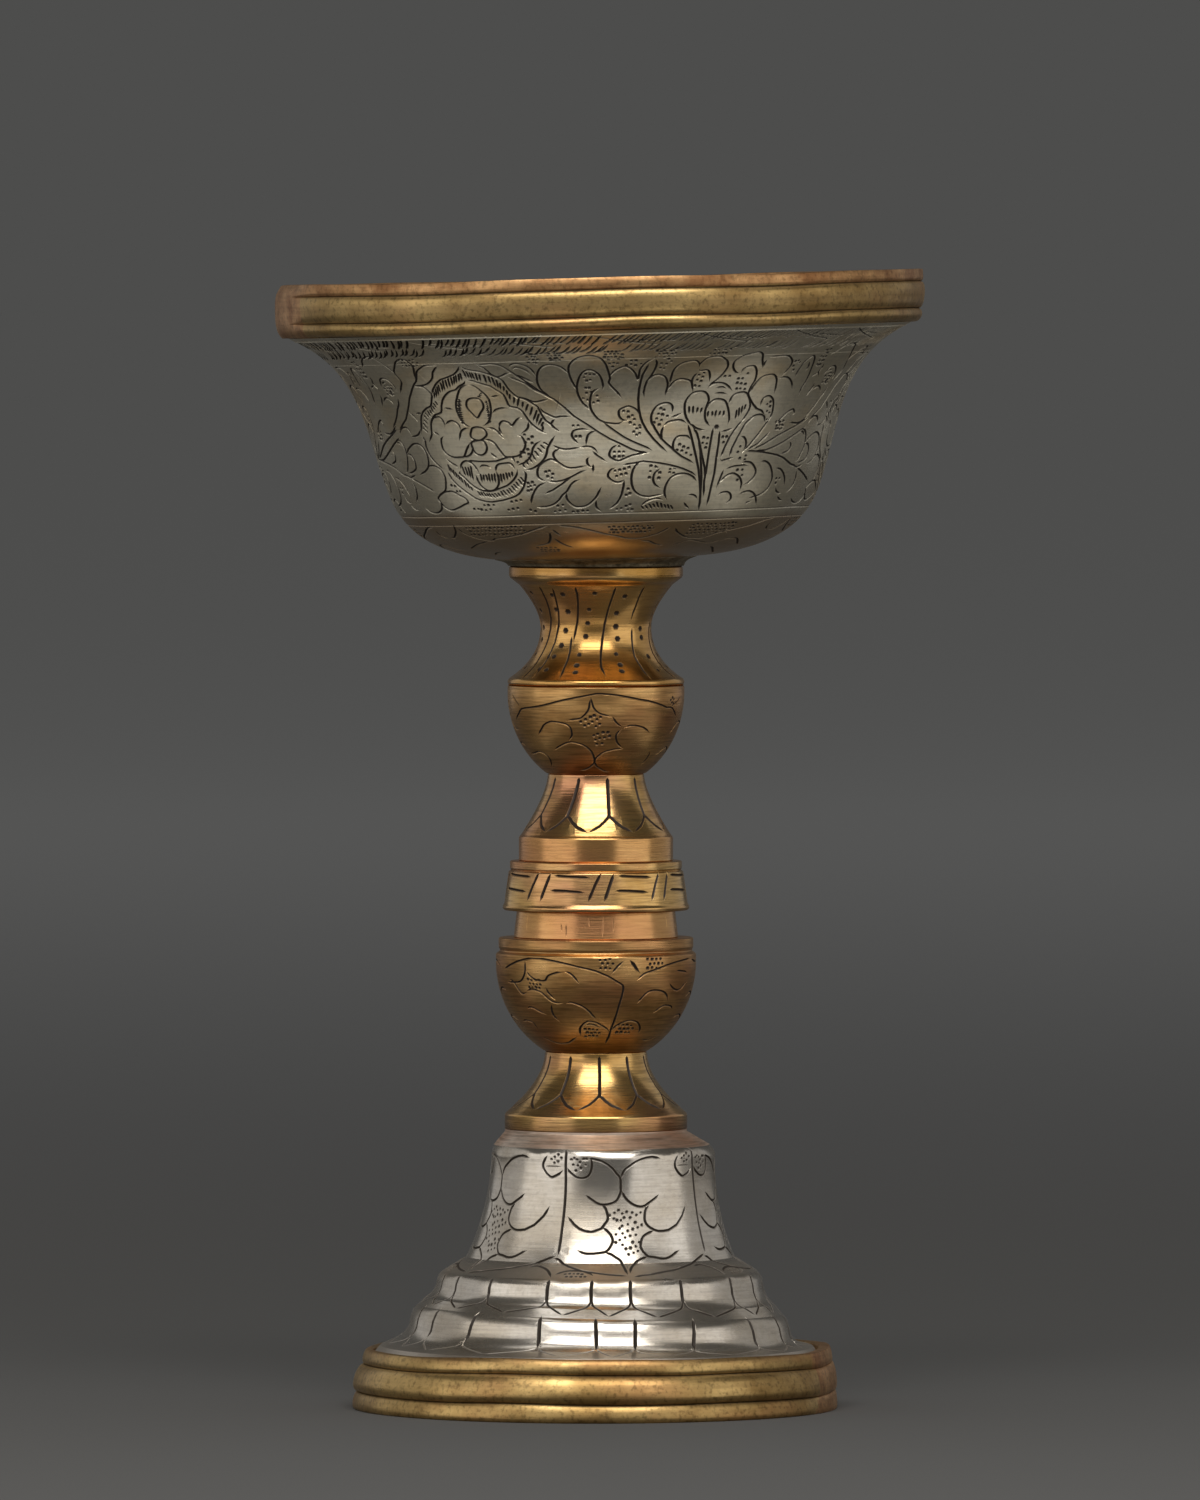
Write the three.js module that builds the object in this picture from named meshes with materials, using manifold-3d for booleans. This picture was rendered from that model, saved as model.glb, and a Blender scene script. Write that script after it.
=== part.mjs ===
// An offering bowl on a tall stem. A raised white-metal bowl with a brass moulding round its lip
// stands on a stack of turned brass pieces, and those on a silvered bell in a brass foot ring.
// A threaded rod runs from a boss under the bowl to a nut under the bell and clamps the stack.
// Millimetres, Z up, with the origin on the floor in the middle of the foot.

import * as THREE from "three";
import { mergeVertices } from "three/addons/utils/BufferGeometryUtils.js";
import Module from "manifold-3d";

const wasm = await Module();
wasm.setup();

// Facets round the axis, and points on each curved stretch of an outline.
const WIDE_FACETS = 40;
const STEM_FACETS = 32;
const ROD_FACETS = 20;
const BEAD_POINTS = 4;
const SHEET_POINTS = 3;
const LONG_CURVE_POINTS = 6;

// Thicknesses and clearances.
const SHEET = 1.0; // sheet metal of the bowl and the bell
const FIT = 0.2; // between a sheet's edge and the moulding round it
const SOLDER = 0.3; // solder film under the leaning bowl
const ROD_CLEARANCE = 0.2; // between the rod and each piece that it passes through
const BOSS_CLEARANCE = 0.3; // between the boss and its recess in the spool
const CHAMFER = 0.25;

// The brass foot ring: an outer wall of three beads, and a ledge inside on which the bell stands.
const FOOT_LEDGE_HEIGHT = 1.2;
const FOOT_LEDGE_WIDTH = 1.4;
const FOOT_LOW_BEAD = { height: 2.35, crown: 2.45, groove: 1.7 };
const FOOT_MID_BEAD = { height: 3.15, crown: 2.3, groove: 0.8 };
const FOOT_TOP_BEAD = { height: 2.1, crown: 1.15, groove: 0.35 };
const FOOT_SOLE = 2.2; // width of the flat under the beads

// The silvered bell, from the hem up: two petal bands with a slope below each, a flank and a shoulder.
// Each height is measured from the stretch below.
const SKIRT_RADIUS = 27.4;
const HEM_INSET = 0.6; // hem below the foot ring's top edge
const HEM_ROUND = 0.7;
const LOW_SLOPE = 1.2;
const LOW_BAND = { height: 3.0, bottom: 23.85, top: 22.6, bulge: 0.3 };
const HIGH_SLOPE = 1.7;
const HIGH_BAND = { height: 3.3, bottom: 20.6, top: 19.5, bulge: 0.35 };
const FLANK_SLOPE = 1.9;
const FLANK = { height: 12.7, bottom: 16.6, top: 13.8, hollowRadius: 14.0, hollowHeight: 5.6 };
const SHOULDER = { height: 2.3, radius: 11.25, edgeRadius: 13.2, edgeHeight: 1.6 };
const BELL_NECK = 0.8;

// The stem pieces, from the bell up. Each sweep ends upright; its corner is the height of the curve's control.
const LOWER_FLARE = { band: 2.1, bandRadius: 11.3, rise: 7.5, top: 6.3, corner: 4.1 };
const LOWER_KNOP = { foot: 6.3, radius: 12.4, cup: 11.2, wall: 0.9 };
const LOWER_KNOP_LIP = { groove: 11.85, radius: 12.05, step: 0.4, height: 1.2 };
const LOWER_DRUM = { height: 3.4, bottom: 10.2, top: 9.8 };
const WAIST_LIP = { height: 0.85, radius: 11.6, undercut: 11.45 };
const WAIST_BAND = { height: 4.0, bottom: 11.35, top: 10.8 };
const WAIST_RIM = { step: 0.25, groove: 10.45, radius: 10.65, height: 1.0 };
const UPPER_FLARE = { band: 3.2, bandRadius: 9.55, rise: 7.6, top: 5.95, corner: 5.2 };
const UPPER_KNOP = { foot: 6.1, radius: 10.95, cup: 10.1, wall: 0.8 };
const SPOOL_LIP = { height: 0.6, radius: 10.95, undercut: 10.7, step: 0.15 };
const SPOOL_WAIST = { radius: 6.85, below: 6.45, corner: 2.55 };
const SPOOL_HEAD = { radius: 9.75, rise: 5.2, corner: 2.05 };
const COLLAR = { step: 0.9, height: 1.5, radius: 10.75 };

// The saddle between the collar and the bowl, and the boss that the rod screws into.
const SADDLE_HEIGHT = 0.9;
const SADDLE_FLARE = 1.2;
const BOSS_RADIUS = 6.5;
const BOSS_DEPTH = 2.6;

// The bowl leans and sits a little off the stem, as it was soldered by hand.
const LEAN_DEGREES = 1.6;
const OFFSET = 1.3;
const BOWL_FLAT = 8.9;
const BELLY = { height: 8.15, radius: 26.5, pullIn: 9.6, lean: 2.2, pullUp: 5.7 };
const BOWL_FLARE = { height: 19.85, radius: 38.4, rise: 8.1, turn: 9.2, drop: 3.9 };

// The brass rim moulding: two beads and a plain top band, folded over the bowl's lip.
const RIM_FOOT = { height: 0.2, thickness: 0.35 }; // lower edge above the end of the bowl's flare
const RIM_LOW_BEAD = { height: 1.75, crown: 1.15, groove: 0.85 };
const RIM_MID_BEAD = { height: 3.6, crown: 1.7, groove: 1.3 };
const RIM_TOP_BAND = { height: 1.25, crown: 1.55, groove: 1.0 };
const RIM_FOLD = { thickness: 0.8, depth: 1.1 };

// The rod and what it clamps with.
const ROD_RADIUS = 2.5;
const ROD_TAIL = 2.6; // below the nut
const ROD_GAP = 0.2; // above the rod's end
const THREAD_PLAY = 0.1;
const NUT_WIDTH = 8.0;
const NUT_HEIGHT = 4.0;
const NUT_SIDES = 6;
const WASHER_RADIUS = 7.0;
const WASHER_THICKNESS = 1.0;

const brass = new THREE.MeshStandardMaterial({ color: 0xb58a3c, roughness: 0.35, metalness: 1 });
const stemBrass = new THREE.MeshStandardMaterial({ color: 0xa8763c, roughness: 0.38, metalness: 1 });
const whiteMetal = new THREE.MeshStandardMaterial({ color: 0x8a857a, roughness: 0.4, metalness: 1 });
const silver = new THREE.MeshStandardMaterial({ color: 0xc9c5bb, roughness: 0.25, metalness: 1 });
const solder = new THREE.MeshStandardMaterial({ color: 0x5b4a30, roughness: 0.6, metalness: 1 });
const steel = new THREE.MeshStandardMaterial({ color: 0x77716a, roughness: 0.5, metalness: 1 });

const lean = -THREE.MathUtils.degToRad(LEAN_DEGREES);
const boreRadius = ROD_RADIUS + ROD_CLEARANCE;
const threadRadius = ROD_RADIUS + THREAD_PLAY;
const recessRadius = BOSS_RADIUS + BOSS_CLEARANCE;

const point = (radius, height) => new THREE.Vector2(radius, height);

// A solid turned about Z from an outline of radius and height, which is closed on itself here.
function turned(outline, facets) {
  return new THREE.LatheGeometry([...outline, outline[0].clone()], facets).rotateX(Math.PI / 2);
}

// Carries a path on to (radius, height) in a bead that stands out to `crown` half-way.
function bead(path, radius, height, crown) {
  const from = path.currentPoint;
  const pull = 2 * crown - (from.x + radius) / 2;
  path.quadraticCurveTo(pull, (from.y + height) / 2, radius, height);
}

// Carries a path on by a straight step of `rise` to a radius.
function step(path, radius, rise) {
  path.lineTo(radius, path.currentPoint.y + rise);
}

// Carries a path on by `rise` to a radius in one curve, pulled to a point given from its start.
function sweep(path, radius, rise, pullRadius, pullHeight) {
  const from = path.currentPoint;
  path.quadraticCurveTo(pullRadius, from.y + pullHeight, radius, from.y + rise);
}

// The line parallel to an outline, `distance` to the left of its direction of travel.
function parallel(outline, distance) {
  const steepestMitre = 0.75;
  return outline.map((here, i) => {
    const before = outline[Math.max(i - 1, 0)];
    const after = outline[Math.min(i + 1, outline.length - 1)];
    const arriving = (i === 0 ? after : here).clone().sub(i === 0 ? here : before).normalize();
    const leaving = (here === after ? here : after).clone().sub(here === after ? before : here).normalize();
    const along = arriving.clone().add(leaving).normalize();
    const mitre = Math.max(steepestMitre, along.dot(arriving));
    return here.clone().add(point(-along.y, along.x).multiplyScalar(distance / mitre));
  });
}

const topOf = (outline) => outline[outline.length - 1].y;

function makeFoot() {
  const inner = SKIRT_RADIUS + FIT;
  const path = new THREE.Path();
  path.moveTo(inner - FOOT_LEDGE_WIDTH, 0);
  path.lineTo(inner + FOOT_SOLE, 0);
  for (const { height, crown, groove } of [FOOT_LOW_BEAD, FOOT_MID_BEAD, FOOT_TOP_BEAD]) {
    bead(path, inner + groove, path.currentPoint.y + height, inner + crown);
  }
  const top = path.currentPoint.y;
  path.lineTo(inner, top - FIT);
  path.lineTo(inner, FOOT_LEDGE_HEIGHT);
  path.lineTo(inner - FOOT_LEDGE_WIDTH, FOOT_LEDGE_HEIGHT);
  return { geometry: turned(path.getPoints(BEAD_POINTS), WIDE_FACETS), top };
}

function band(path, { height, top, bottom, bulge }) {
  bead(path, top, path.currentPoint.y + height, (top + bottom) / 2 + bulge);
}

function makeBell(footTop) {
  const path = new THREE.Path();
  path.moveTo(SKIRT_RADIUS, FOOT_LEDGE_HEIGHT);
  path.lineTo(SKIRT_RADIUS, footTop - HEM_INSET);
  step(path, SKIRT_RADIUS - HEM_ROUND, HEM_ROUND);
  step(path, LOW_BAND.bottom, LOW_SLOPE);
  band(path, LOW_BAND);
  step(path, HIGH_BAND.bottom, HIGH_SLOPE);
  band(path, HIGH_BAND);
  step(path, FLANK.bottom, FLANK_SLOPE);
  sweep(path, FLANK.top, FLANK.height, FLANK.hollowRadius, FLANK.hollowHeight);
  sweep(path, SHOULDER.radius, SHOULDER.height, SHOULDER.edgeRadius, SHOULDER.edgeHeight);
  step(path, SHOULDER.radius, BELL_NECK);

  const outside = path.getPoints(SHEET_POINTS);
  const top = topOf(outside);
  const inside = parallel(outside, SHEET).filter((p) => p.y < top - SHEET);
  inside[0].y = FOOT_LEDGE_HEIGHT;
  const crown = [
    point(boreRadius, top),
    point(boreRadius, top - SHEET),
    point(SHOULDER.radius - SHEET, top - SHEET),
  ];
  return { geometry: turned([...outside, ...crown, ...inside.reverse()], WIDE_FACETS), top };
}

// A turned piece of the stem, drilled through for the rod, from an outside that runs upwards.
function drilled(outside) {
  const top = topOf(outside);
  return { geometry: turned([...outside, point(boreRadius, top), point(boreRadius, 0)], STEM_FACETS), height: top };
}

function makeFlare(flare) {
  const path = new THREE.Path();
  path.moveTo(flare.bandRadius, 0);
  path.lineTo(flare.bandRadius, flare.band - CHAMFER);
  step(path, flare.bandRadius - CHAMFER, CHAMFER);
  sweep(path, flare.top, flare.rise, flare.top, flare.corner);
  return drilled(path.getPoints(LONG_CURVE_POINTS));
}

// The lower quarter of an ellipse, from a knop's foot out to its full radius.
function knopCup({ foot, radius, cup }) {
  const depth = cup / Math.sqrt(1 - (foot / radius) ** 2);
  const points = [];
  for (let i = 0; i <= LONG_CURVE_POINTS; i++) {
    const height = (cup * i) / LONG_CURVE_POINTS;
    points.push(point(radius * Math.sqrt(1 - ((cup - height) / depth) ** 2), height));
  }
  return points;
}

function makeUpperKnop() {
  const { radius, cup, wall } = UPPER_KNOP;
  return drilled([...knopCup(UPPER_KNOP), point(radius, cup + wall)]);
}

function makeLowerKnop() {
  const { radius, cup, wall } = LOWER_KNOP;
  const lip = LOWER_KNOP_LIP;
  const grooveHeight = cup + wall + lip.step;
  const lipFoot = grooveHeight + lip.step;
  return drilled([
    ...knopCup(LOWER_KNOP),
    point(radius, cup + wall),
    point(lip.groove, grooveHeight),
    point(lip.radius, lipFoot),
    point(lip.radius, lipFoot + lip.height),
  ]);
}

function makeLowerDrum() {
  return drilled([point(LOWER_DRUM.bottom, 0), point(LOWER_DRUM.top, LOWER_DRUM.height)]);
}

function makeWaistBand() {
  const path = new THREE.Path();
  path.moveTo(WAIST_LIP.undercut, 0);
  step(path, WAIST_LIP.radius, WAIST_LIP.height / 2);
  step(path, WAIST_BAND.bottom, WAIST_LIP.height / 2);
  step(path, WAIST_BAND.top, WAIST_BAND.height);
  step(path, WAIST_RIM.groove, WAIST_RIM.step / 2);
  step(path, WAIST_RIM.radius, WAIST_RIM.step / 2);
  step(path, WAIST_RIM.radius, WAIST_RIM.height);
  return drilled(path.getPoints());
}

// The spool: a lip, a hollow waist, a flare and a collar with a recess in its top for the boss.
function makeSpool() {
  const path = new THREE.Path();
  path.moveTo(SPOOL_LIP.undercut, 0);
  step(path, SPOOL_LIP.radius, SPOOL_LIP.step);
  step(path, SPOOL_LIP.radius, SPOOL_LIP.height);
  sweep(path, SPOOL_WAIST.radius, SPOOL_WAIST.below, SPOOL_WAIST.radius, SPOOL_WAIST.corner);
  sweep(path, SPOOL_HEAD.radius, SPOOL_HEAD.rise, SPOOL_WAIST.radius, SPOOL_HEAD.corner);
  step(path, COLLAR.radius, COLLAR.step);
  step(path, COLLAR.radius, COLLAR.height);
  const outside = path.getPoints(LONG_CURVE_POINTS - 1);
  const top = topOf(outside);
  const floor = top - BOSS_DEPTH - BOSS_CLEARANCE;
  const inside = [
    point(recessRadius, top),
    point(recessRadius, floor),
    point(boreRadius, floor),
    point(boreRadius, 0),
  ];
  return { geometry: turned([...outside, ...inside], STEM_FACETS), height: top };
}

function solidOf(geometry) {
  const bare = geometry.clone();
  bare.deleteAttribute("normal");
  bare.deleteAttribute("uv");
  const merged = mergeVertices(bare, 1e-4);
  return new wasm.Manifold(
    new wasm.Mesh({
      numProp: 3,
      vertProperties: merged.getAttribute("position").array,
      triVerts: new Uint32Array(merged.index.array),
    }),
  );
}

// A level piece filed off to the slope of the bowl above it, whose seat is at `seat` in the piece's frame.
function filedToBowl(geometry, seat) {
  const waste = new THREE.BoxGeometry(4 * COLLAR.radius, 4 * COLLAR.radius, COLLAR.radius);
  waste.translate(0, 0, COLLAR.radius / 2 - SOLDER);
  waste.rotateY(lean);
  waste.translate(OFFSET, 0, seat);
  const mesh = solidOf(geometry).subtract(solidOf(waste)).getMesh();
  return new THREE.BufferGeometry()
    .setAttribute("position", new THREE.BufferAttribute(mesh.vertProperties, 3))
    .setIndex(new THREE.BufferAttribute(mesh.triVerts, 1));
}

function makeSaddle() {
  const path = new THREE.Path();
  path.moveTo(recessRadius, 0);
  path.lineTo(COLLAR.radius, 0);
  sweep(path, COLLAR.radius + SADDLE_FLARE, SADDLE_HEIGHT, COLLAR.radius, SADDLE_HEIGHT * 0.8);
  step(path, COLLAR.radius + SADDLE_FLARE, SADDLE_HEIGHT);
  path.lineTo(recessRadius, path.currentPoint.y);
  return filedToBowl(turned(path.getPoints(SHEET_POINTS), STEM_FACETS), SADDLE_HEIGHT);
}

function makeBoss() {
  const raw = ring(threadRadius, BOSS_RADIUS, BOSS_DEPTH + 2 * SADDLE_HEIGHT, STEM_FACETS);
  return filedToBowl(raw, BOSS_DEPTH + SADDLE_HEIGHT);
}

// The bowl's outside from its flat floor up, and its lip at the height that the moulding gives it.
function makeBowl(lipHeight) {
  const { height, radius, pullIn, lean: bellyLean, pullUp } = BELLY;
  const flareTop = height + BOWL_FLARE.height;
  const path = new THREE.Path();
  path.moveTo(BOWL_FLAT, 0);
  path.bezierCurveTo(BOWL_FLAT + pullIn, 0, radius - bellyLean, height - pullUp, radius, height);
  path.bezierCurveTo(
    radius + (bellyLean * BOWL_FLARE.rise) / pullUp,
    height + BOWL_FLARE.rise,
    BOWL_FLARE.radius - BOWL_FLARE.turn,
    flareTop - BOWL_FLARE.drop,
    BOWL_FLARE.radius,
    flareTop,
  );
  path.lineTo(BOWL_FLARE.radius, lipHeight);
  const outside = path.getPoints(LONG_CURVE_POINTS);
  const inside = parallel(outside, SHEET);
  inside[inside.length - 1].y = lipHeight;
  return turned([point(0, 0), ...outside, ...inside.reverse(), point(0, SHEET)], WIDE_FACETS);
}

function makeRim() {
  const inner = BOWL_FLARE.radius + FIT;
  const foldOuter = BOWL_FLARE.radius - SHEET - FIT;
  const path = new THREE.Path();
  path.moveTo(inner, BELLY.height + BOWL_FLARE.height + RIM_FOOT.height);
  path.lineTo(inner + RIM_FOOT.thickness, path.currentPoint.y);
  for (const { height, crown, groove } of [RIM_LOW_BEAD, RIM_MID_BEAD, RIM_TOP_BAND]) {
    bead(path, inner + groove, path.currentPoint.y + height, inner + crown);
  }
  const top = path.currentPoint.y;
  const lipHeight = top - RIM_FOLD.thickness - FIT;
  path.lineTo(foldOuter - RIM_FOLD.thickness, top);
  path.lineTo(foldOuter - RIM_FOLD.thickness, lipHeight - RIM_FOLD.depth);
  path.lineTo(foldOuter, lipHeight - RIM_FOLD.depth);
  path.lineTo(foldOuter, lipHeight + FIT);
  path.lineTo(inner, lipHeight + FIT);
  return { geometry: turned(path.getPoints(BEAD_POINTS), WIDE_FACETS), lipHeight };
}

function ring(inner, outer, height, facets) {
  return turned([point(inner, 0), point(outer, 0), point(outer, height), point(inner, height)], facets);
}

function makeRod(length) {
  const outline = [
    point(0, 0),
    point(ROD_RADIUS - CHAMFER, 0),
    point(ROD_RADIUS, CHAMFER),
    point(ROD_RADIUS, length),
    point(0, length),
  ];
  return turned(outline, ROD_FACETS);
}

function makeNut() {
  const reach = NUT_WIDTH / 2 / Math.cos(Math.PI / NUT_SIDES);
  const corners = Array.from({ length: NUT_SIDES }, (_, corner) => {
    const angle = (corner * 2 * Math.PI) / NUT_SIDES;
    return point(reach * Math.cos(angle), reach * Math.sin(angle));
  });
  const shape = new THREE.Shape(corners);
  const hole = new THREE.Path();
  hole.absarc(0, 0, threadRadius, 0, 2 * Math.PI, true);
  shape.holes.push(hole);
  return new THREE.ExtrudeGeometry(shape, { depth: NUT_HEIGHT, bevelEnabled: false, curveSegments: ROD_FACETS });
}

const part = new THREE.Group();

function add(group, name, geometry, material, z = 0) {
  const mesh = new THREE.Mesh(geometry, material);
  mesh.name = name;
  mesh.position.z = z;
  group.add(mesh);
}

const foot = makeFoot();
const bell = makeBell(foot.top);
add(part, "foot_moulding", foot.geometry, brass);
add(part, "base_bell", bell.geometry, silver);

// Each stem piece stands on the one before.
let z = bell.top;
for (const [name, piece, material] of [
  ["lower_flare", makeFlare(LOWER_FLARE), stemBrass],
  ["lower_knop", makeLowerKnop(), stemBrass],
  ["lower_drum", makeLowerDrum(), stemBrass],
  ["waist_band", makeWaistBand(), stemBrass],
  ["upper_flare", makeFlare(UPPER_FLARE), stemBrass],
  ["upper_knop", makeUpperKnop(), stemBrass],
  ["upper_spool", makeSpool(), brass],
]) {
  add(part, name, piece.geometry, material, z);
  z += piece.height;
}
const stemTop = z;
add(part, "bowl_saddle", makeSaddle(), solder, stemTop);
add(part, "bowl_boss", makeBoss(), brass, stemTop - BOSS_DEPTH);

const bowlGroup = new THREE.Group();
bowlGroup.position.set(OFFSET, 0, stemTop + SADDLE_HEIGHT);
bowlGroup.rotation.y = lean;
part.add(bowlGroup);
const rim = makeRim();
add(bowlGroup, "bowl_shell", makeBowl(rim.lipHeight), whiteMetal);
add(bowlGroup, "rim_moulding", rim.geometry, brass);

const washerZ = bell.top - SHEET - WASHER_THICKNESS;
const nutZ = washerZ - NUT_HEIGHT;
const rodFoot = nutZ - ROD_TAIL;
add(part, "rod_washer", ring(boreRadius, WASHER_RADIUS, WASHER_THICKNESS, ROD_FACETS), brass, washerZ);
add(part, "rod_nut", makeNut(), steel, nutZ);
add(part, "tie_rod", makeRod(stemTop - ROD_GAP - rodFoot), steel, rodFoot);

export default part;
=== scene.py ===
# %% [markdown]
# # An offering bowl in chased metal
# A raised bowl stands on a stem of turned brass and a silvered bell. Each piece below is made, finished and
# put in the place of the imported plain solid it stands for, which is hidden; the stem pieces take their
# heights from the imported model.

# %% Load the imported model
import math
import random

import bmesh
import bpy
import numpy as np
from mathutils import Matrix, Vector, noise
from mathutils.geometry import delaunay_2d_cdt
from mathutils.kdtree import KDTree


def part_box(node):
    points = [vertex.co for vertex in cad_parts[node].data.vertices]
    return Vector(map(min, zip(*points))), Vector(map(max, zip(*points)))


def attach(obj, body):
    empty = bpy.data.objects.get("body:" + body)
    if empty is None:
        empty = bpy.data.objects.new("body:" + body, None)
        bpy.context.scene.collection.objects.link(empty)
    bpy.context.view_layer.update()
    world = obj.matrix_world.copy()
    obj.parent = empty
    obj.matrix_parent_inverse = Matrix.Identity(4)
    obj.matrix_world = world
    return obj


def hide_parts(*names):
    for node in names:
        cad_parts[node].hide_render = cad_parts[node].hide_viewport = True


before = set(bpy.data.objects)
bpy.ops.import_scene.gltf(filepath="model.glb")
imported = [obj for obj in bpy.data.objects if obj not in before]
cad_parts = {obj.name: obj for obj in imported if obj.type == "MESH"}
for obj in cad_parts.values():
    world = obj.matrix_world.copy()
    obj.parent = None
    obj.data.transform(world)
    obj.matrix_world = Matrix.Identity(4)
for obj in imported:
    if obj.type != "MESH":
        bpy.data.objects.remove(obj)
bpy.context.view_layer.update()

# %% [markdown]
# All sizes are written in millimetres, as in the workshop, and become metres when a mesh is made. Angles
# round the object are in degrees from the front, where the camera stands, and grow to the right. Five sizes
# are shared: how thick the bowl and the bell are, the bore for the rod, and how the bowl leans and sits.

# %% Units and colours
MM = 0.001
SHEET = 1.0
ROD_BORE = 2.7
BOWL_LEAN = 1.6
SEAT_RIGHT = 1.3
SEAT_HEIGHT = 105.2


def linear(code):
    """An sRGB hex colour as the linear colour that Blender mixes."""
    parts = [int(code[i:i + 2], 16) / 255 for i in (1, 3, 5)]
    return tuple(c / 12.92 if c <= 0.04045 else ((c + 0.055) / 1.055) ** 2.4 for c in parts) + (1.0,)


def foot_of(node):
    """The height of a node's lowest point, in millimetres."""
    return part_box(node)[0].z / MM


# %% [markdown]
# ## Camera
# The photograph was taken from far off with a long lens, level with the lip, so the beads of the rim run
# almost straight. The lens, height and tilt come from the places of the foot and the rim in the frame.

# %% The camera
CAMERA_PLACE = Vector((0.5, -2060.0, 138.3)) * MM
CAMERA_TILT = math.radians(1.58)
LENS = 399.6

camera_data = bpy.data.cameras.new("camera")
camera_data.sensor_fit = "VERTICAL"
camera_data.sensor_height = 36.0
camera_data.lens = LENS
camera_data.clip_end = 100.0
camera = bpy.data.objects.new("camera", camera_data)
camera.location = CAMERA_PLACE
camera.rotation_euler = (math.radians(90) - CAMERA_TILT, 0, 0)
bpy.context.scene.collection.objects.link(camera)
bpy.context.scene.camera = camera
bpy.context.scene.view_settings.view_transform = "Standard"
print("camera", tuple(camera.location))


# %% [markdown]
# ## Outlines
# Every piece was turned on a lathe, spun or bent round a former, so each starts as an outline of radius and
# height. A curve is carried on from the last point, pulled towards a second one, as the solids' outlines
# are.

# %% Drawing an outline
def carry(outline, pull, end, steps=14):
    """Carries an outline on in one curve, pulled towards a point."""
    start = np.array(outline[-1])
    for k in range(1, steps + 1):
        t = k / steps
        here = (1 - t) ** 2 * start + 2 * t * (1 - t) * np.array(pull) + t * t * np.array(end)
        outline.append(tuple(here))
    return outline


def bead(outline, radius, rise, crown, fullness=2.5):
    """Carries an outline on in a bead with a flattened face that stands out to `crown` half-way up."""
    start_radius, start_height = outline[-1]
    swell = crown - (start_radius + radius) / 2
    steps = 18
    for k in range(1, steps + 1):
        t = (1 - math.cos(math.pi * k / steps)) / 2
        out = max(0.0, 1 - abs(2 * t - 1) ** fullness) ** (1 / fullness)
        outline.append((start_radius + t * (radius - start_radius) + swell * out, start_height + t * rise))
    return outline


def runs_of(*runs, lift=0.0):
    """Smooth runs of an outline, each between two edges, lifted to their height on the object."""
    return [[(radius, height + lift) for radius, height in run] for run in runs]


def soften(runs, by):
    """Rounds the edges between runs, and at the two ends, by a small step of worn metal."""
    runs = [[tuple(point) for point in run] for run in runs]
    foot, top = runs[0][0], runs[-1][-1]
    runs = [[(foot[0] - 2 * by, foot[1]), foot]] + runs + [[top, (top[0] - 2 * by, top[1])]]

    def shorten(run):
        """Takes `by` off a run's end, keeping the points that are further away."""
        end = np.array(run[-1])
        kept = [point for point in run if np.linalg.norm(np.array(point) - end) > by * 1.3] or run[:1]
        away = np.array(kept[-1]) - end
        return kept + [tuple(end + away / np.linalg.norm(away) * by)]

    softened = [runs[0]]
    for run in runs[1:]:
        corner = np.array(run[0])
        before = shorten(softened[-1])
        after = shorten(run[::-1])[::-1]
        a, b = np.array(before[-1]), np.array(after[0])
        arc = [tuple((1 - t) ** 2 * a + 2 * t * (1 - t) * corner + t * t * b) for t in (0, 0.33, 0.67, 1)]
        softened[-1:] = [before, arc, after]
    return softened[1:-1]


# %% [markdown]
# A plain turned piece is an outline drawn by extruding one vertex from point to point, then spun about the
# stem's axis. A small bevel rounds the edges that fingers and polish have worn.

# %% Turning a piece
LATHE_STEPS = 256


def turn(name, outline, worn=0.12):
    """A solid spun about the stem's axis from a closed outline, in millimetres."""
    bpy.ops.object.select_all(action="DESELECT")
    bpy.ops.mesh.primitive_plane_add(size=MM, location=(0, 0, 0))
    piece = bpy.context.object
    piece.name = piece.data.name = name
    bpy.ops.object.mode_set(mode="EDIT")
    bpy.ops.mesh.select_mode(type="VERT")
    bpy.ops.mesh.select_all(action="SELECT")
    bpy.ops.mesh.merge(type="CENTER")
    places = [Vector((radius * MM, 0, height * MM)) for radius, height in outline]
    bpy.ops.transform.translate(value=places[0])
    for here, there in zip(places, places[1:] + places[:1]):
        bpy.ops.mesh.extrude_vertices_move(TRANSFORM_OT_translate={"value": there - here})
    bpy.ops.mesh.select_all(action="SELECT")
    bpy.ops.mesh.remove_doubles(threshold=1e-6)
    bpy.ops.mesh.spin(steps=LATHE_STEPS, angle=2 * math.pi, center=(0, 0, 0), axis=(0, 0, 1))
    bpy.ops.mesh.select_all(action="SELECT")
    bpy.ops.mesh.remove_doubles(threshold=1e-6)
    bpy.ops.mesh.normals_make_consistent(inside=False)
    bpy.ops.object.mode_set(mode="OBJECT")
    if worn:
        bevel = piece.modifiers.new("worn edge", "BEVEL")
        bevel.width = worn * MM
        bevel.segments = 2
        bevel.limit_method = "ANGLE"
        bevel.angle_limit = math.radians(28)
        bpy.ops.object.modifier_apply(modifier=bevel.name)
    bpy.ops.object.shade_smooth_by_angle(angle=math.radians(40))
    return piece


def hand_made(piece, out, up, seed, low=0.0):
    """Bends a piece by a few tenths of a millimetre, as a strip does that was bent and soldered by hand."""
    turns = 2.2
    for vertex in piece.data.vertices:
        angle = math.atan2(vertex.co.y, vertex.co.x)
        place = Vector((math.cos(angle) * turns, math.sin(angle) * turns, seed + vertex.co.z / MM * 0.07))
        share = min(1.0, max(0.0, (vertex.co.z / MM - low) / 2.0))
        outward = Vector((vertex.co.x, vertex.co.y, 0)).normalized()
        vertex.co += outward * out * MM * noise.noise(place)
        vertex.co.z += up * MM * share * noise.noise(place + Vector((5.2, 3.1, 0)))
    return piece


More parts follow.
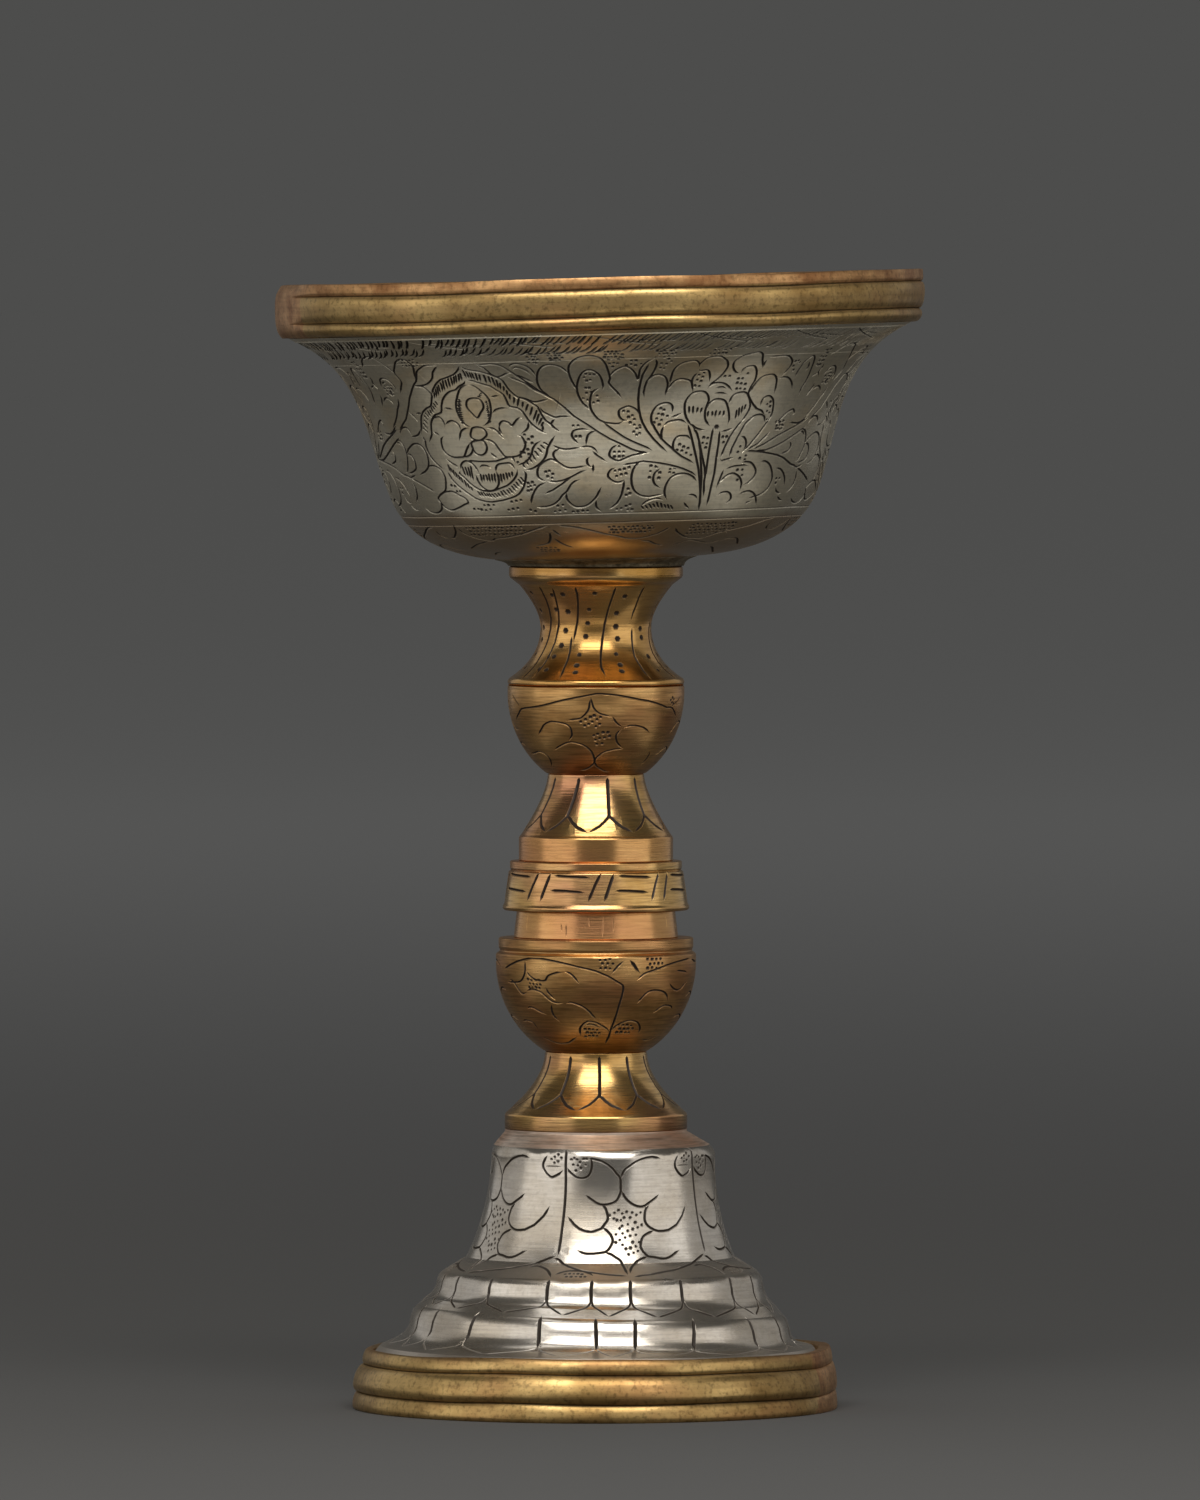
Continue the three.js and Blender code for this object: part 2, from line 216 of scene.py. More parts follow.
def tarnish_and_shade(piece, *rings):
    """Darkens rings (height, spread, strength) in the cut attribute: dirt in grooves, painted shade on beads.
    """
    heights = np.array([vertex.co.z / MM for vertex in piece.data.vertices])
    shares = [most * np.clip(1 - np.abs(heights - middle) / spread, 0, 1) for middle, spread, most in rings]
    marks = piece.data.attributes.new("cut", "FLOAT", "POINT")
    marks.data.foreach_set("value", np.max(shares, axis=0).astype(np.float32))
    return piece


def join_ends(piece, middle, reach, inner, profile, strength=1.0):
    """Fills a moulding's grooves where its strip's ends meet; returns how deep in the joint a place is."""
    def share_at(place):
        angle = math.degrees(math.atan2(place.x, -place.y))
        ragged = 3 * noise.noise(place / MM * 0.35)
        return strength * min(1.0, max(0.0, (reach - abs((angle - middle + 180) % 360 - 180) + ragged) / 9))

    for vertex in piece.data.vertices:
        radius = vertex.co.xy.length / MM
        share = share_at(vertex.co)
        if share and radius > inner:
            vertex.co.xy *= 1 + share * (profile(vertex.co.z / MM) / radius - 1)
            marks = piece.data.attributes["cut"].data[vertex.index]
            marks.value *= 1 - 0.8 * share
    return share_at


def stand_for(piece, slot, *nodes):
    """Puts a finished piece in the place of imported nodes."""
    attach(piece, "root")
    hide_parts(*nodes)
    print(piece.name, len(piece.data.polygons), "faces")


# %% [markdown]
# ## Chasing
# The ornament is chased and engraved: a graver or a small chisel is driven along drawn lines and leaves
# V-shaped cuts a third of a millimetre wide, and a round punch stipples the ground between the leaves.
# Blender's modelling operators can't cut hundreds of free lines into a curved wall, so this skin is made
# another way. The wall is laid out flat, degrees round against millimetres along, every cut is drawn on it
# as two edges and a sunk centre line, the sheet is triangulated round them, and then it is wrapped back on
# the turned outline.

# %% The wall of a turned piece
def skin_of(runs):
    """The runs of an outline with the length along them and the direction that faces out."""
    skin = []
    start = 0.0
    for run in runs:
        points = np.array(run)
        along = start + np.concatenate([[0.0], np.cumsum(np.linalg.norm(np.diff(points, axis=0), axis=1))])
        travel = np.gradient(points, along, axis=0)
        outward = np.stack([travel[:, 1], -travel[:, 0]], axis=1)
        outward /= np.linalg.norm(outward, axis=1)[:, None]
        skin.append({"along": along, "points": points, "outward": outward})
        start = along[-1]
    return skin


def length_of(skin):
    """How long a wall is, from its foot to its top."""
    return skin[-1]["along"][-1]


def radius_at(skin, along):
    """The wall's radius at a distance along it."""
    all_along = np.concatenate([run["along"] for run in skin])
    radii = np.concatenate([run["points"][:, 0] for run in skin])
    return np.interp(along, all_along, radii)


def read_skin(skin, along, hint):
    """Points of the outline and their outward directions; `hint` says on which side of an edge to read."""
    edges = np.array([run["along"][-1] for run in skin[:-1]])
    which = np.searchsorted(edges, hint)
    points = np.zeros((len(along), 2))
    outward = np.zeros((len(along), 2))
    for number, run in enumerate(skin):
        chosen = which == number
        for axis in (0, 1):
            points[chosen, axis] = np.interp(along[chosen], run["along"], run["points"][:, axis])
            outward[chosen, axis] = np.interp(along[chosen], run["along"], run["outward"][:, axis])
    return points, outward / np.linalg.norm(outward, axis=1)[:, None]


def wrap(flat, around):
    """Turns (radius, height) pairs to their angle round the axis; the front faces -Y."""
    return np.stack([flat[:, 0] * np.sin(around), -flat[:, 0] * np.cos(around), flat[:, 1]], axis=1)


# %% [markdown]
# A design holds the cuts on one wall. A cut is a smooth curve through a few given points. The graver
# enters and leaves the metal gradually, so a cut narrows towards its ends and gets shallower as it narrows.

# %% Drawing cuts and punch marks
CUT_WIDTH = 0.36
CUT_DEPTH = 0.16
DOT_WIDTH = 0.54
STIPPLE_WIDTH = 0.52


def new_design(skin):
    """An empty drawing on a wall; its flat width is measured at the wall's mean radius."""
    reference = float(radius_at(skin, np.linspace(0, length_of(skin), 60)).mean())
    return {"skin": skin, "reference": reference, "cuts": [], "dots": []}


def flat_place(design, degrees, along):
    """A point of the drawing on the flat sheet."""
    return np.array([math.radians(degrees) * design["reference"], along])


def curve_through(points, closed=False):
    """A Catmull-Rom curve through points, with samples close enough for its bends."""
    points = np.asarray(points, float)
    if len(points) == 2 and not closed:
        points = np.array([points[0], points.mean(axis=0), points[1]])
    if closed:
        ring = np.concatenate([points[-1:], points, points[:2]])
    else:
        ring = np.concatenate([2 * points[:1] - points[1:2], points, 2 * points[-1:] - points[-2:-1]])
    samples = []
    for a, b, c, d in zip(ring, ring[1:], ring[2:], ring[3:]):
        size = np.linalg.norm(c - b)
        turn_in = (b - a) / (np.linalg.norm(b - a) + 1e-9)
        turn_out = (d - c) / (np.linalg.norm(d - c) + 1e-9)
        bend = math.acos(max(-1.0, min(1.0, float(turn_in @ turn_out))))
        count = max(1, round(size / 1.1), math.ceil(bend / 0.42))
        count = min(count, max(1, round(size / 0.16)))
        for k in range(count):
            t = k / count
            samples.append(0.5 * (2 * b + (c - a) * t + (2 * a - 5 * b + 4 * c - d) * t ** 2
                                  + (3 * b - a - 3 * c + d) * t ** 3))
    samples.append(points[0] if closed else points[-1])
    return np.array(samples)


def cut(design, points, width=CUT_WIDTH, depth=CUT_DEPTH, enter=0.6, leave=0.8, closed=False):
    """Chases one line through (degrees, millimetres) points."""
    line = curve_through([flat_place(design, *p) for p in points], closed)
    steps = np.linalg.norm(np.diff(line, axis=0), axis=1)
    keep = np.concatenate([[True], steps > 0.03])
    line = line[keep]
    if len(line) < 3:
        return
    travelled = np.concatenate([[0.0], np.cumsum(np.linalg.norm(np.diff(line, axis=0), axis=1))])
    whole = travelled[-1]
    enter, leave = min(enter, whole * 0.3), min(leave, whole * 0.35)
    for stop in () if closed else (enter, whole - leave):
        if np.abs(travelled - stop).min() > 0.1:
            at = np.searchsorted(travelled, stop)
            share = (stop - travelled[at - 1]) / (travelled[at] - travelled[at - 1])
            line = np.insert(line, at, line[at - 1] + share * (line[at] - line[at - 1]), axis=0)
            travelled = np.insert(travelled, at, stop)
    if closed:
        strength = np.full(len(line), 1.0)
    else:
        strength = np.minimum(1, np.minimum(travelled / enter, (travelled[-1] - travelled) / leave))
        strength[1:-1] = np.maximum(strength[1:-1], 0.3)
        strength[[0, -1]] = 0
    design["cuts"].append({"line": line, "half": strength * width / 2, "depth": strength * depth,
                           "closed": closed})


def dot(design, degrees, along, width=DOT_WIDTH, depth=0.15):
    """Sinks one mark of a round punch."""
    design["dots"].append((*flat_place(design, degrees, along), width / 2, depth))


# %% [markdown]
# The drawn lines are written as text, one cut to a row, with each point as degrees round and millimetres
# along the wall. A row that ends with a comma goes on in the next line. Hatches are drawn between two
# lines, and a punch fills the ground in rows that are never quite even.

# %% Reading drawn lines
chance = random.Random(7)


def points_in(text):
    """(degrees, millimetres) points written as `a b, a b`."""
    return [tuple(float(number) for number in pair.split()) for pair in text.split(",")]


def rows_in(text):
    """The rows of a text as points; a row that ends with a comma goes on in the next line."""
    return [points_in(row) for row in text.strip().replace(",\n", ",").splitlines()]


def draw_lines(design, text, **style):
    """Chases one cut for each row of a text."""
    for row in rows_in(text):
        cut(design, row, **style)


def punch(design, text, width=DOT_WIDTH):
    """Sinks one mark at each point of a text, no two quite the same size."""
    for degrees, along in points_in(text):
        dot(design, degrees, along, width=width * chance.uniform(0.85, 1.15))


def point_along(line, share):
    """The point that lies at a share of the way along a row of points."""
    steps = np.linspace(0, 1, len(line))
    return np.array([np.interp(share, steps, line[:, axis]) for axis in (0, 1)])


def between(design, start, end, count):
    """Short hatches whose feet run along one line and whose heads run along another."""
    feet, heads = np.array(points_in(start)), np.array(points_in(end))
    for k in range(count):
        share = k / (count - 1)
        foot, head = point_along(feet, share), point_along(heads, share)
        sway = (chance.uniform(-0.15, 0.15), chance.uniform(-0.07, 0.07))
        middle = (foot + head) / 2 + (chance.uniform(-0.12, 0.12), 0)
        cut(design, [tuple(foot + sway), tuple(middle), tuple(head - sway)], width=0.34, depth=0.15,
            enter=0.2, leave=0.4)


def stipple(design, low, high, rows, columns):
    """Rows of punch marks that fill the ground between two corners, a little uneven."""
    (a, s), (b, t) = points_in(low)[0], points_in(high)[0]
    for row in range(rows):
        for column in range(columns):
            degrees = a + (b - a) * (column + 0.5 * (row % 2)) / columns + chance.uniform(-0.25, 0.25)
            along = s + (t - s) * row / max(1, rows - 1) + chance.uniform(-0.08, 0.08)
            dot(design, degrees, along, width=STIPPLE_WIDTH * chance.uniform(0.8, 1.2))


# %% [markdown]
# The sheet is triangulated once for one repeat of the design. Cuts that cross its side edges are drawn
# again one repeat further on, so the copies close on each other without a seam.

# %% Laying the cuts out on the sheet
def lay_out(design, left, width, grid):
    """Points, edges and depths on one repeat of the sheet, between `left` and `left + width`."""
    skin, reference = design["skin"], design["reference"]
    top = length_of(skin)
    points, edges, cuts, dots = [], [], [], []

    def add_chain(chain):
        start = len(points)
        points.extend(map(tuple, chain))
        edges.extend((start + i, start + i + 1) for i in range(len(chain) - 1))

    def turns_that_show(low, high):
        """The repeats, counted from the drawn one, that bring a mark onto this sheet."""
        return range(math.ceil((left - high) / width), math.floor((left + width - low) / width) + 1)

    for mark in design["cuts"]:
        for turn_over in turns_that_show(mark["line"][:, 0].min() - 0.5, mark["line"][:, 0].max() + 0.5):
            line = mark["line"] + (turn_over * width, 0)
            scale = radius_at(skin, line[:, 1]) / reference
            travel = np.gradient(line, axis=0)
            if mark["closed"]:
                travel[0] = travel[-1] = line[1] - line[-2]
            travel[:, 0] *= scale
            travel /= np.linalg.norm(travel, axis=1)[:, None] + 1e-9
            side = np.stack([-travel[:, 1] / scale, travel[:, 0]], axis=1) * mark["half"][:, None]
            cuts.append({**mark, "line": line, "scale": scale.mean()})
            add_chain(line)
            add_chain(line + side)
            add_chain(line - side)
    for x, y, half, depth in design["dots"]:
        for turn_over in turns_that_show(x - 0.5, x + 0.5):
            scale = radius_at(skin, y) / reference
            centre = np.array([x + turn_over * width, y])
            corners = np.arange(6) * math.pi / 3
            ring = [centre + half * np.array([math.cos(a) / scale, math.sin(a)]) for a in corners]
            dots.append((centre, half, depth, scale))
            add_chain(ring + ring[:1])
            points.append(tuple(centre))

    tree = KDTree(len(points))
    for number, (x, y) in enumerate(points):
        tree.insert((x, y, 0), number)
    tree.balance()
    columns = max(3, round(width / grid))
    rows = [0.0]
    creases = {0.0}
    for run in skin:
        low, high = run["along"][0], run["along"][-1]
        rows.extend(np.linspace(low, high, max(1, round((high - low) / grid)) + 1)[1:])
        creases.add(float(high))
    for row in rows:
        chain = []
        for column in range(columns + 1):
            x = left + width * column / columns
            at_side = column in (0, columns)
            at_end = row in (rows[0], rows[-1])
            if at_side or at_end or not tree.find_range((x, row, 0), 0.3):
                chain.append((x, float(row)))
        if float(row) in creases:
            add_chain(chain)
        else:
            points.extend(chain)
    for x in (left, left + width):
        add_chain([(x, float(row)) for row in rows])
    return points, edges, cuts, dots


# %% [markdown]
# Each point of the triangulated sheet is sunk by the deepest cut over it. A cut is a V, so the depth falls
# evenly from its centre line to its edges.

# %% Sinking the cuts
def sink(flat, cuts, dots):
    """The depth in millimetres, and how far up the V each point is, for all points of the sheet."""
    order = np.argsort(flat[:, 0], kind="stable")
    sorted_x = flat[order, 0]
    depth = np.zeros(len(flat))
    for mark in cuts:
        line, half = mark["line"], mark["half"]
        reach = half.max() + 0.05
        first, last = np.searchsorted(sorted_x, [line[:, 0].min() - reach, line[:, 0].max() + reach])
        near = order[first:last]
        near = near[(flat[near, 1] > line[:, 1].min() - reach) & (flat[near, 1] < line[:, 1].max() + reach)]
        if not len(near):
            continue
        metric = np.array([mark["scale"], 1.0])
        starts, spans = line[:-1] * metric, np.diff(line, axis=0) * metric
        offset = flat[near][:, None, :] * metric - starts[None]
        share = np.clip((offset * spans).sum(2) / ((spans ** 2).sum(1) + 1e-12), 0, 1)
        away = np.linalg.norm(offset - share[..., None] * spans, axis=2)
        wide = half[:-1] + share * np.diff(half) + 1e-6
        deep = mark["depth"][:-1] + share * np.diff(mark["depth"])
        found = (deep * (1 - away / wide)).max(1)
        depth[near] = np.maximum(depth[near], found)
    for centre, half, deep, scale in dots:
        first, last = np.searchsorted(sorted_x, [centre[0] - half, centre[0] + half])
        near = order[first:last]
        away = np.linalg.norm((flat[near] - centre) * (scale, 1.0), axis=1)
        depth[near] = np.maximum(depth[near], deep * (1 - away / half))
    return np.where(depth < 0.006, 0.0, depth)


# %% [markdown]
# The finished sheet is copied round the axis. The design's repeats were drawn freehand, so behind the front
# the copies are shifted by a slow, seeded waver. Faces of a cut keep their own flat normals, which gives
# crisp edges, and the ground keeps the normals of the turned wall, so it reflects like one smooth surface.

# %% Wrapping the sheet round the piece
def wander(around, along):
    """A slow waver of the drawing, nothing at the front and growing behind, in millimetres."""
    shift = np.zeros((len(around), 2))
    for i, (angle, height) in enumerate(zip(around, along)):
        behind = min(1.0, max(0.0, (1 - math.cos(angle)) - 0.6))
        place = Vector((math.cos(angle) * 1.7, math.sin(angle) * 1.7, height * 0.12))
        shift[i] = behind * noise.noise(place), behind * noise.noise(place + Vector((9, 4, 2)))
    return shift


def chase(name, design, repeats=1, left=-180.0, grid=1.1, waver=(0.0, 0.0)):
    """The chased wall of a piece as a mesh object, open at its two ends."""
    skin, reference = design["skin"], design["reference"]
    width = 2 * math.pi * reference / repeats
    left_edge = math.radians(left) * reference
    points, edges, cuts, dots = lay_out(design, left_edge, width, grid)
    flat, _, faces, _, _, _ = delaunay_2d_cdt([Vector(p) for p in points], edges, [], 0, 4e-3)
    flat = np.array(flat)
    faces = np.array(faces)
    corner = flat[faces]
    middle = corner.mean(axis=1)
    a, b = corner[:, 1] - corner[:, 0], corner[:, 2] - corner[:, 0]
    area = a[:, 0] * b[:, 1] - a[:, 1] * b[:, 0]
    inside = (middle[:, 0] > left_edge) & (middle[:, 0] < left_edge + width)
    inside &= (middle[:, 1] > 0) & (middle[:, 1] < length_of(skin)) & (np.abs(area) > 1e-9)
    faces = faces[inside]
    faces[area[inside] < 0] = faces[area[inside] < 0][:, ::-1]
    used, faces = np.unique(faces, return_inverse=True)
    faces = faces.reshape(-1, 3)
    flat = flat[used]
    depth = sink(flat, cuts, dots)

    around = np.concatenate([(flat[:, 0] + k * width) / reference for k in range(repeats)])
    along = np.clip(np.tile(flat[:, 1], repeats), 0, length_of(skin))
    depth = np.tile(depth, repeats)
    faces = np.concatenate([faces + k * len(flat) for k in range(repeats)])
    if any(waver):
        shift = wander(around, along)
        ends = np.minimum(1, np.minimum(along, length_of(skin) - along) / 2)
        around = around + shift[:, 0] * waver[0] / reference * ends
        along = along + shift[:, 1] * waver[1] * ends
    places, outward = read_skin(skin, along, along)
    places = wrap(places - outward * depth[:, None], around) * MM

    mesh = bpy.data.meshes.new(name)
    mesh.from_pydata(places.tolist(), [], faces.tolist())
    for title, values in (("around", around), ("along", along), ("depth", depth),
                          ("cut", np.clip(depth / CUT_DEPTH, 0, 1))):
        mesh.attributes.new(title, "FLOAT", "POINT").data.foreach_set("value", values.astype(np.float32))
    piece = bpy.data.objects.new(name, mesh)
    bpy.context.scene.collection.objects.link(piece)
    bpy.ops.object.select_all(action="DESELECT")
    bpy.context.view_layer.objects.active = piece
    piece.select_set(True)
    bpy.ops.object.mode_set(mode="EDIT")
    bpy.ops.mesh.select_all(action="SELECT")
    bpy.ops.mesh.remove_doubles(threshold=1e-6)
    bpy.ops.object.mode_set(mode="OBJECT")
    print(name, len(design["cuts"]), "cuts", len(design["dots"]), "punch marks", len(mesh.polygons), "faces")
    return piece


# %% [markdown]
# The wall is open at both ends. Its last ring is extruded from point to point down the inside, and the two
# ends are bridged, so every piece is a closed body, as thick as the real one.

# %% Closing a piece behind its chased wall
def select_ring(piece, height):
    """Selects the open ring at a height, in edit mode."""
    mesh = bmesh.from_edit_mesh(piece.data)
    bpy.ops.mesh.select_mode(type="EDGE")
    bpy.ops.mesh.select_all(action="DESELECT")
    for edge in mesh.edges:
        level = all(abs(vertex.co.z - height * MM) < 2e-6 for vertex in edge.verts)
        edge.select = level and len(edge.link_faces) < 2
    mesh.select_flush(True)
    bmesh.update_edit_mesh(piece.data)


def extend(piece, start, path, pole=False):
    """Extrudes the open ring at `start` along a path of (radius, height) points."""
    select_ring(piece, start[1])
    radius, height = start
    for next_radius, next_height in path:
        rise = (0, 0, (next_height - height) * MM)
        bpy.ops.mesh.extrude_edges_move(TRANSFORM_OT_translate={"value": rise})
        ratio = next_radius / radius
        bpy.ops.transform.resize(value=(ratio, ratio, 1), center_override=(0, 0, next_height * MM))
        radius, height = next_radius, next_height
    if pole:
        bpy.ops.mesh.merge(type="CENTER")


def close_round_bore(piece, skin):
    """Closes a stem piece with level ends and the hole for the rod."""
    foot, top = tuple(skin[0]["points"][0]), tuple(skin[-1]["points"][-1])
    bpy.ops.object.mode_set(mode="EDIT")
    extend(piece, foot, [(ROD_BORE, foot[1])])
    extend(piece, top, [(ROD_BORE, top[1]), (ROD_BORE, foot[1])])
    finish_closing(piece)


def finish_closing(piece):
    """Welds the seams and turns all faces outwards."""
    bpy.ops.mesh.select_all(action="SELECT")
    bpy.ops.mesh.remove_doubles(threshold=1e-6)
    bpy.ops.mesh.normals_make_consistent(inside=False)
    bpy.ops.object.mode_set(mode="OBJECT")


# %% [markdown]
# Last, the shading of the chased wall is set corner by corner, as described above. Each corner also gets
# its darkness: patina stays deep in a cut, and on its faces shade is painted by the way they turn: a face
# that turns down is painted darker, and a face that turns up towards the lamps lighter, as a painted glint.

# %% Smooth ground, crisp cuts
def settle_normals(piece, skin):
    """Gives each corner its normal and its darkness: patina in a cut, with painted shade and glint."""
    bpy.ops.object.select_all(action="DESELECT")
    bpy.context.view_layer.objects.active = piece
    piece.select_set(True)
    bpy.ops.object.shade_smooth_by_angle(angle=math.radians(30))
    mesh = piece.data
    count = len(mesh.loops)

    def read(source, name, length, kind):
        values = np.empty(length, kind)
        source.foreach_get(name, values)
        return values

    vertex = read(mesh.loops, "vertex_index", count, np.int32)
    place = read(mesh.vertices, "co", 3 * len(mesh.vertices), np.float32).reshape(-1, 3)
    around, along, depth = (read(mesh.attributes[title].data, "value", len(mesh.vertices), np.float32)
                            for title in ("around", "along", "depth"))
    points, outward = read_skin(skin, along, along)
    expected = wrap(points - outward * depth[:, None], around) * MM
    on_wall = np.linalg.norm(expected - place, axis=1) < 1e-6

    sides = read(mesh.polygons, "loop_total", len(mesh.polygons), np.int32)
    flat_normal = read(mesh.polygons, "normal", 3 * len(mesh.polygons), np.float32).reshape(-1, 3)
    face = np.repeat(np.arange(len(sides)), sides)
    starts = np.concatenate([[0], np.cumsum(sides)[:-1]])
    walled = np.logical_and.reduceat(on_wall[vertex], starts)
    sunk = np.maximum.reduceat(depth[vertex], starts) > 0.004
    middle = (np.add.reduceat(along[vertex], starts) / sides)[face]

    normal = read(mesh.corner_normals, "vector", 3 * count, np.float32).reshape(-1, 3)
    hint = along[vertex] + 0.2 * (middle - along[vertex])
    _, out = read_skin(skin, along[vertex], hint)
    ground = wrap(out, around[vertex])
    use_ground = walled[face] & ~sunk[face]
    use_flat = walled[face] & sunk[face]
    normal[use_ground] = ground[use_ground]
    normal[use_flat] = flat_normal[face][use_flat]
    mesh.normals_split_custom_set(normal.tolist())

    # Painted shade and glint: cut faces that turn down stay dark, faces that turn up are painted lighter.
    turned_up = flat_normal[face][:, 2] - ground[:, 2]
    deepest = np.maximum.reduceat(depth[vertex], starts)[face]
    darkness = np.clip((0.85 * depth[vertex] + 0.35 * deepest) / CUT_DEPTH, 0, 1)
    darkness *= np.clip(1.0 - 0.8 * turned_up, 0.55, 1) * use_flat
    mesh.attributes.remove(mesh.attributes["cut"])
    mesh.attributes.new("cut", "FLOAT", "CORNER").data.foreach_set("value", darkness.astype(np.float32))
    print(piece.name, "ground corners", int(use_ground.sum()), "cut corners", int(use_flat.sum()))


# %% [markdown]
# ## Finishes
# Colours and gloss come from how each metal was worked and has aged.

# %% One helper for nodes
def add(tree, kind, inputs=None, **settings):
    """Adds a node with its settings; an input is a value or another node's output."""
    made = tree.nodes.new(kind)
    for name, value in settings.items():
        setattr(made, name, value)
    for name, value in (inputs or {}).items():
        if isinstance(value, bpy.types.NodeSocket):
            tree.links.new(value, made.inputs[name])
        else:
            made.inputs[name].default_value = value
    return made


def fresh_material(name, roughness=None):
    """A plain metal, ready for its nodes."""
    material = bpy.data.materials.new(name)
    material.use_nodes = True
    tree = material.node_tree
    shader = tree.nodes["Principled BSDF"]
    shader.inputs["Metallic"].default_value = 1.0
    if roughness is not None:
        shader.inputs["Roughness"].default_value = roughness
    return material, tree, shader


# %% [markdown]
# Metal that was turned or burnished keeps fine rings, and tarnish lies in clouds and deep in every cut. So
# each finish mixes a bright and a dull tone in clouds, darkens the cuts, where some painted shade is mixed
# in, lays bands of colour between two heights, which are stains except the painted shade under the bowl, and
# breaks the gloss with rings that are drawn a little coarser than the real ones, 0.2 to 0.45 mm apart, so
# that they still show in the picture.

# %% A worked metal
def worked_metal(name, bright, dull, patina, gloss=(0.22, 0.36), rings=0.45, ring_height=0.016, streaks=0.35,
                 cloud=9.0, dents=0.1, dent_size=7.0, blush=None, blush_share=0.3, stains_and_shade=(),
                 stain_rough=0.1, tilt=0.0, specks=0.0):
    """A metal with clouds of two tones, turned rings, dark cuts with some painted shade, and bands
    between two heights: stains, and painted shade under the bowl.
    """
    material, tree, shader = fresh_material(name)
    place = add(tree, "ShaderNodeTexCoord").outputs["Object"]
    clouds = add(tree, "ShaderNodeTexNoise", {"Vector": place, "Scale": 1 / (cloud * MM), "Detail": 5.0,
                                              "Roughness": 0.62}).outputs["Fac"]
    flattened = add(tree, "ShaderNodeMapping", {"Vector": place, "Rotation": (0, math.radians(tilt), 0),
                                                "Scale": (0.05, 0.05, 1)}).outputs["Vector"]
    lathe = add(tree, "ShaderNodeTexNoise", {"Vector": flattened, "Scale": 1 / (rings * MM), "Detail": 2.5,
                                             "Roughness": 0.65}).outputs["Fac"]
    share = add(tree, "ShaderNodeMapRange", {"Value": clouds, "From Min": 0.36,
                                             "From Max": 0.64}).outputs["Result"]
    tone = add(tree, "ShaderNodeMix", {0: share, 6: linear(bright), 7: linear(dull)},
               data_type="RGBA").outputs[2]
    if blush:
        shifted = add(tree, "ShaderNodeMapping", {"Vector": place, "Location": (0.3, 0.7, 0.1),
                                                  "Scale": (1, 1, 1.8)}).outputs["Vector"]
        warm = add(tree, "ShaderNodeTexNoise", {"Vector": shifted, "Scale": 1 / (14 * MM),
                                                "Detail": 4.0}).outputs["Fac"]
        warm = add(tree, "ShaderNodeMapRange", {"Value": warm, "From Min": 0.62 - blush_share * 0.4,
                                                "From Max": 0.8 - blush_share * 0.2}).outputs["Result"]
        tone = add(tree, "ShaderNodeMix", {0: warm, 6: tone, 7: linear(blush)}, data_type="RGBA").outputs[2]
    streak = add(tree, "ShaderNodeMapRange", {"Value": lathe, "From Min": 0.42, "From Max": 0.7,
                                              "To Max": streaks}).outputs["Result"]
    tone = add(tree, "ShaderNodeMix", {0: streak, 6: tone, 7: linear(patina)}, data_type="RGBA").outputs[2]
    if specks:
        pits = add(tree, "ShaderNodeTexNoise", {"Vector": place, "Scale": 1 / (0.55 * MM), "Detail": 3.0,
                                                "Roughness": 0.6}).outputs["Fac"]
        pits = add(tree, "ShaderNodeMapRange", {"Value": pits, "From Min": 0.5, "From Max": 0.68,
                                                "To Max": specks}).outputs["Result"]
        tone = add(tree, "ShaderNodeMix", {0: pits, 6: tone, 7: linear(patina)}, data_type="RGBA").outputs[2]
    height = add(tree, "ShaderNodeSeparateXYZ", {"Vector": place}).outputs["Z"]
    ragged = add(tree, "ShaderNodeMath", {0: clouds, 1: 2.4 * MM, 2: height},
                 operation="MULTIPLY_ADD").outputs[0]
    stain_and_shade_total = None
    # Bands of colour between two heights: stains on most metals; the bowl's brown band at its seat is painted
    # shade.
    for low, high, colour, strength in stains_and_shade:
        rise = add(tree, "ShaderNodeMapRange", {"Value": ragged, "From Min": (low + 0.7) * MM,
                                                "From Max": (low + 1.7) * MM,
                                                "To Max": strength}).outputs["Result"]
        fall = add(tree, "ShaderNodeMapRange", {"Value": ragged, "From Min": (high + 0.7) * MM,
                                                "From Max": (high + 1.7) * MM, "To Min": 1.0,
                                                "To Max": 0.0}).outputs["Result"]
        stain_and_shade_mask = add(tree, "ShaderNodeMath", {0: rise, 1: fall}, operation="MULTIPLY").outputs[0]
        tone = add(tree, "ShaderNodeMix", {0: stain_and_shade_mask, 6: tone, 7: linear(colour)},
                   data_type="RGBA").outputs[2]
        stain_and_shade_total = stain_and_shade_mask if stain_and_shade_total is None else add(tree, "ShaderNodeMath", {
            0: stain_and_shade_mask, 1: stain_and_shade_total}, operation="ADD").outputs[0]
    # The cut attribute: patina in cuts and dirt in grooves, with painted shade on downward cut faces and
    # beads.
    sunk = add(tree, "ShaderNodeAttribute", attribute_name="cut").outputs["Fac"]
    dark = add(tree, "ShaderNodeMapRange", {"Value": sunk, "From Min": 0.06,
                                            "From Max": 0.5}).outputs["Result"]
    tone = add(tree, "ShaderNodeMix", {0: dark, 6: tone, 7: linear(patina)}, data_type="RGBA").outputs[2]
    tree.links.new(tone, shader.inputs["Base Color"])
    bare = add(tree, "ShaderNodeMapRange", {"Value": dark, "To Min": 1.0, "To Max": 0.3}).outputs["Result"]
    tree.links.new(bare, shader.inputs["Metallic"])

    low, high = gloss
    rough = add(tree, "ShaderNodeMapRange", {"Value": clouds, "From Min": 0.3, "From Max": 0.7,
                                             "To Min": low, "To Max": high}).outputs["Result"]
    rough = add(tree, "ShaderNodeMath", {0: lathe, 1: 0.12, 2: rough}, operation="MULTIPLY_ADD").outputs[0]
    rough = add(tree, "ShaderNodeMath", {0: dark, 1: 0.35, 2: rough}, operation="MULTIPLY_ADD").outputs[0]
    if stain_and_shade_total is not None:
        rough = add(tree, "ShaderNodeMath", {0: stain_and_shade_total, 1: stain_rough, 2: rough},
                    operation="MULTIPLY_ADD").outputs[0]
    tree.links.new(rough, shader.inputs["Roughness"])

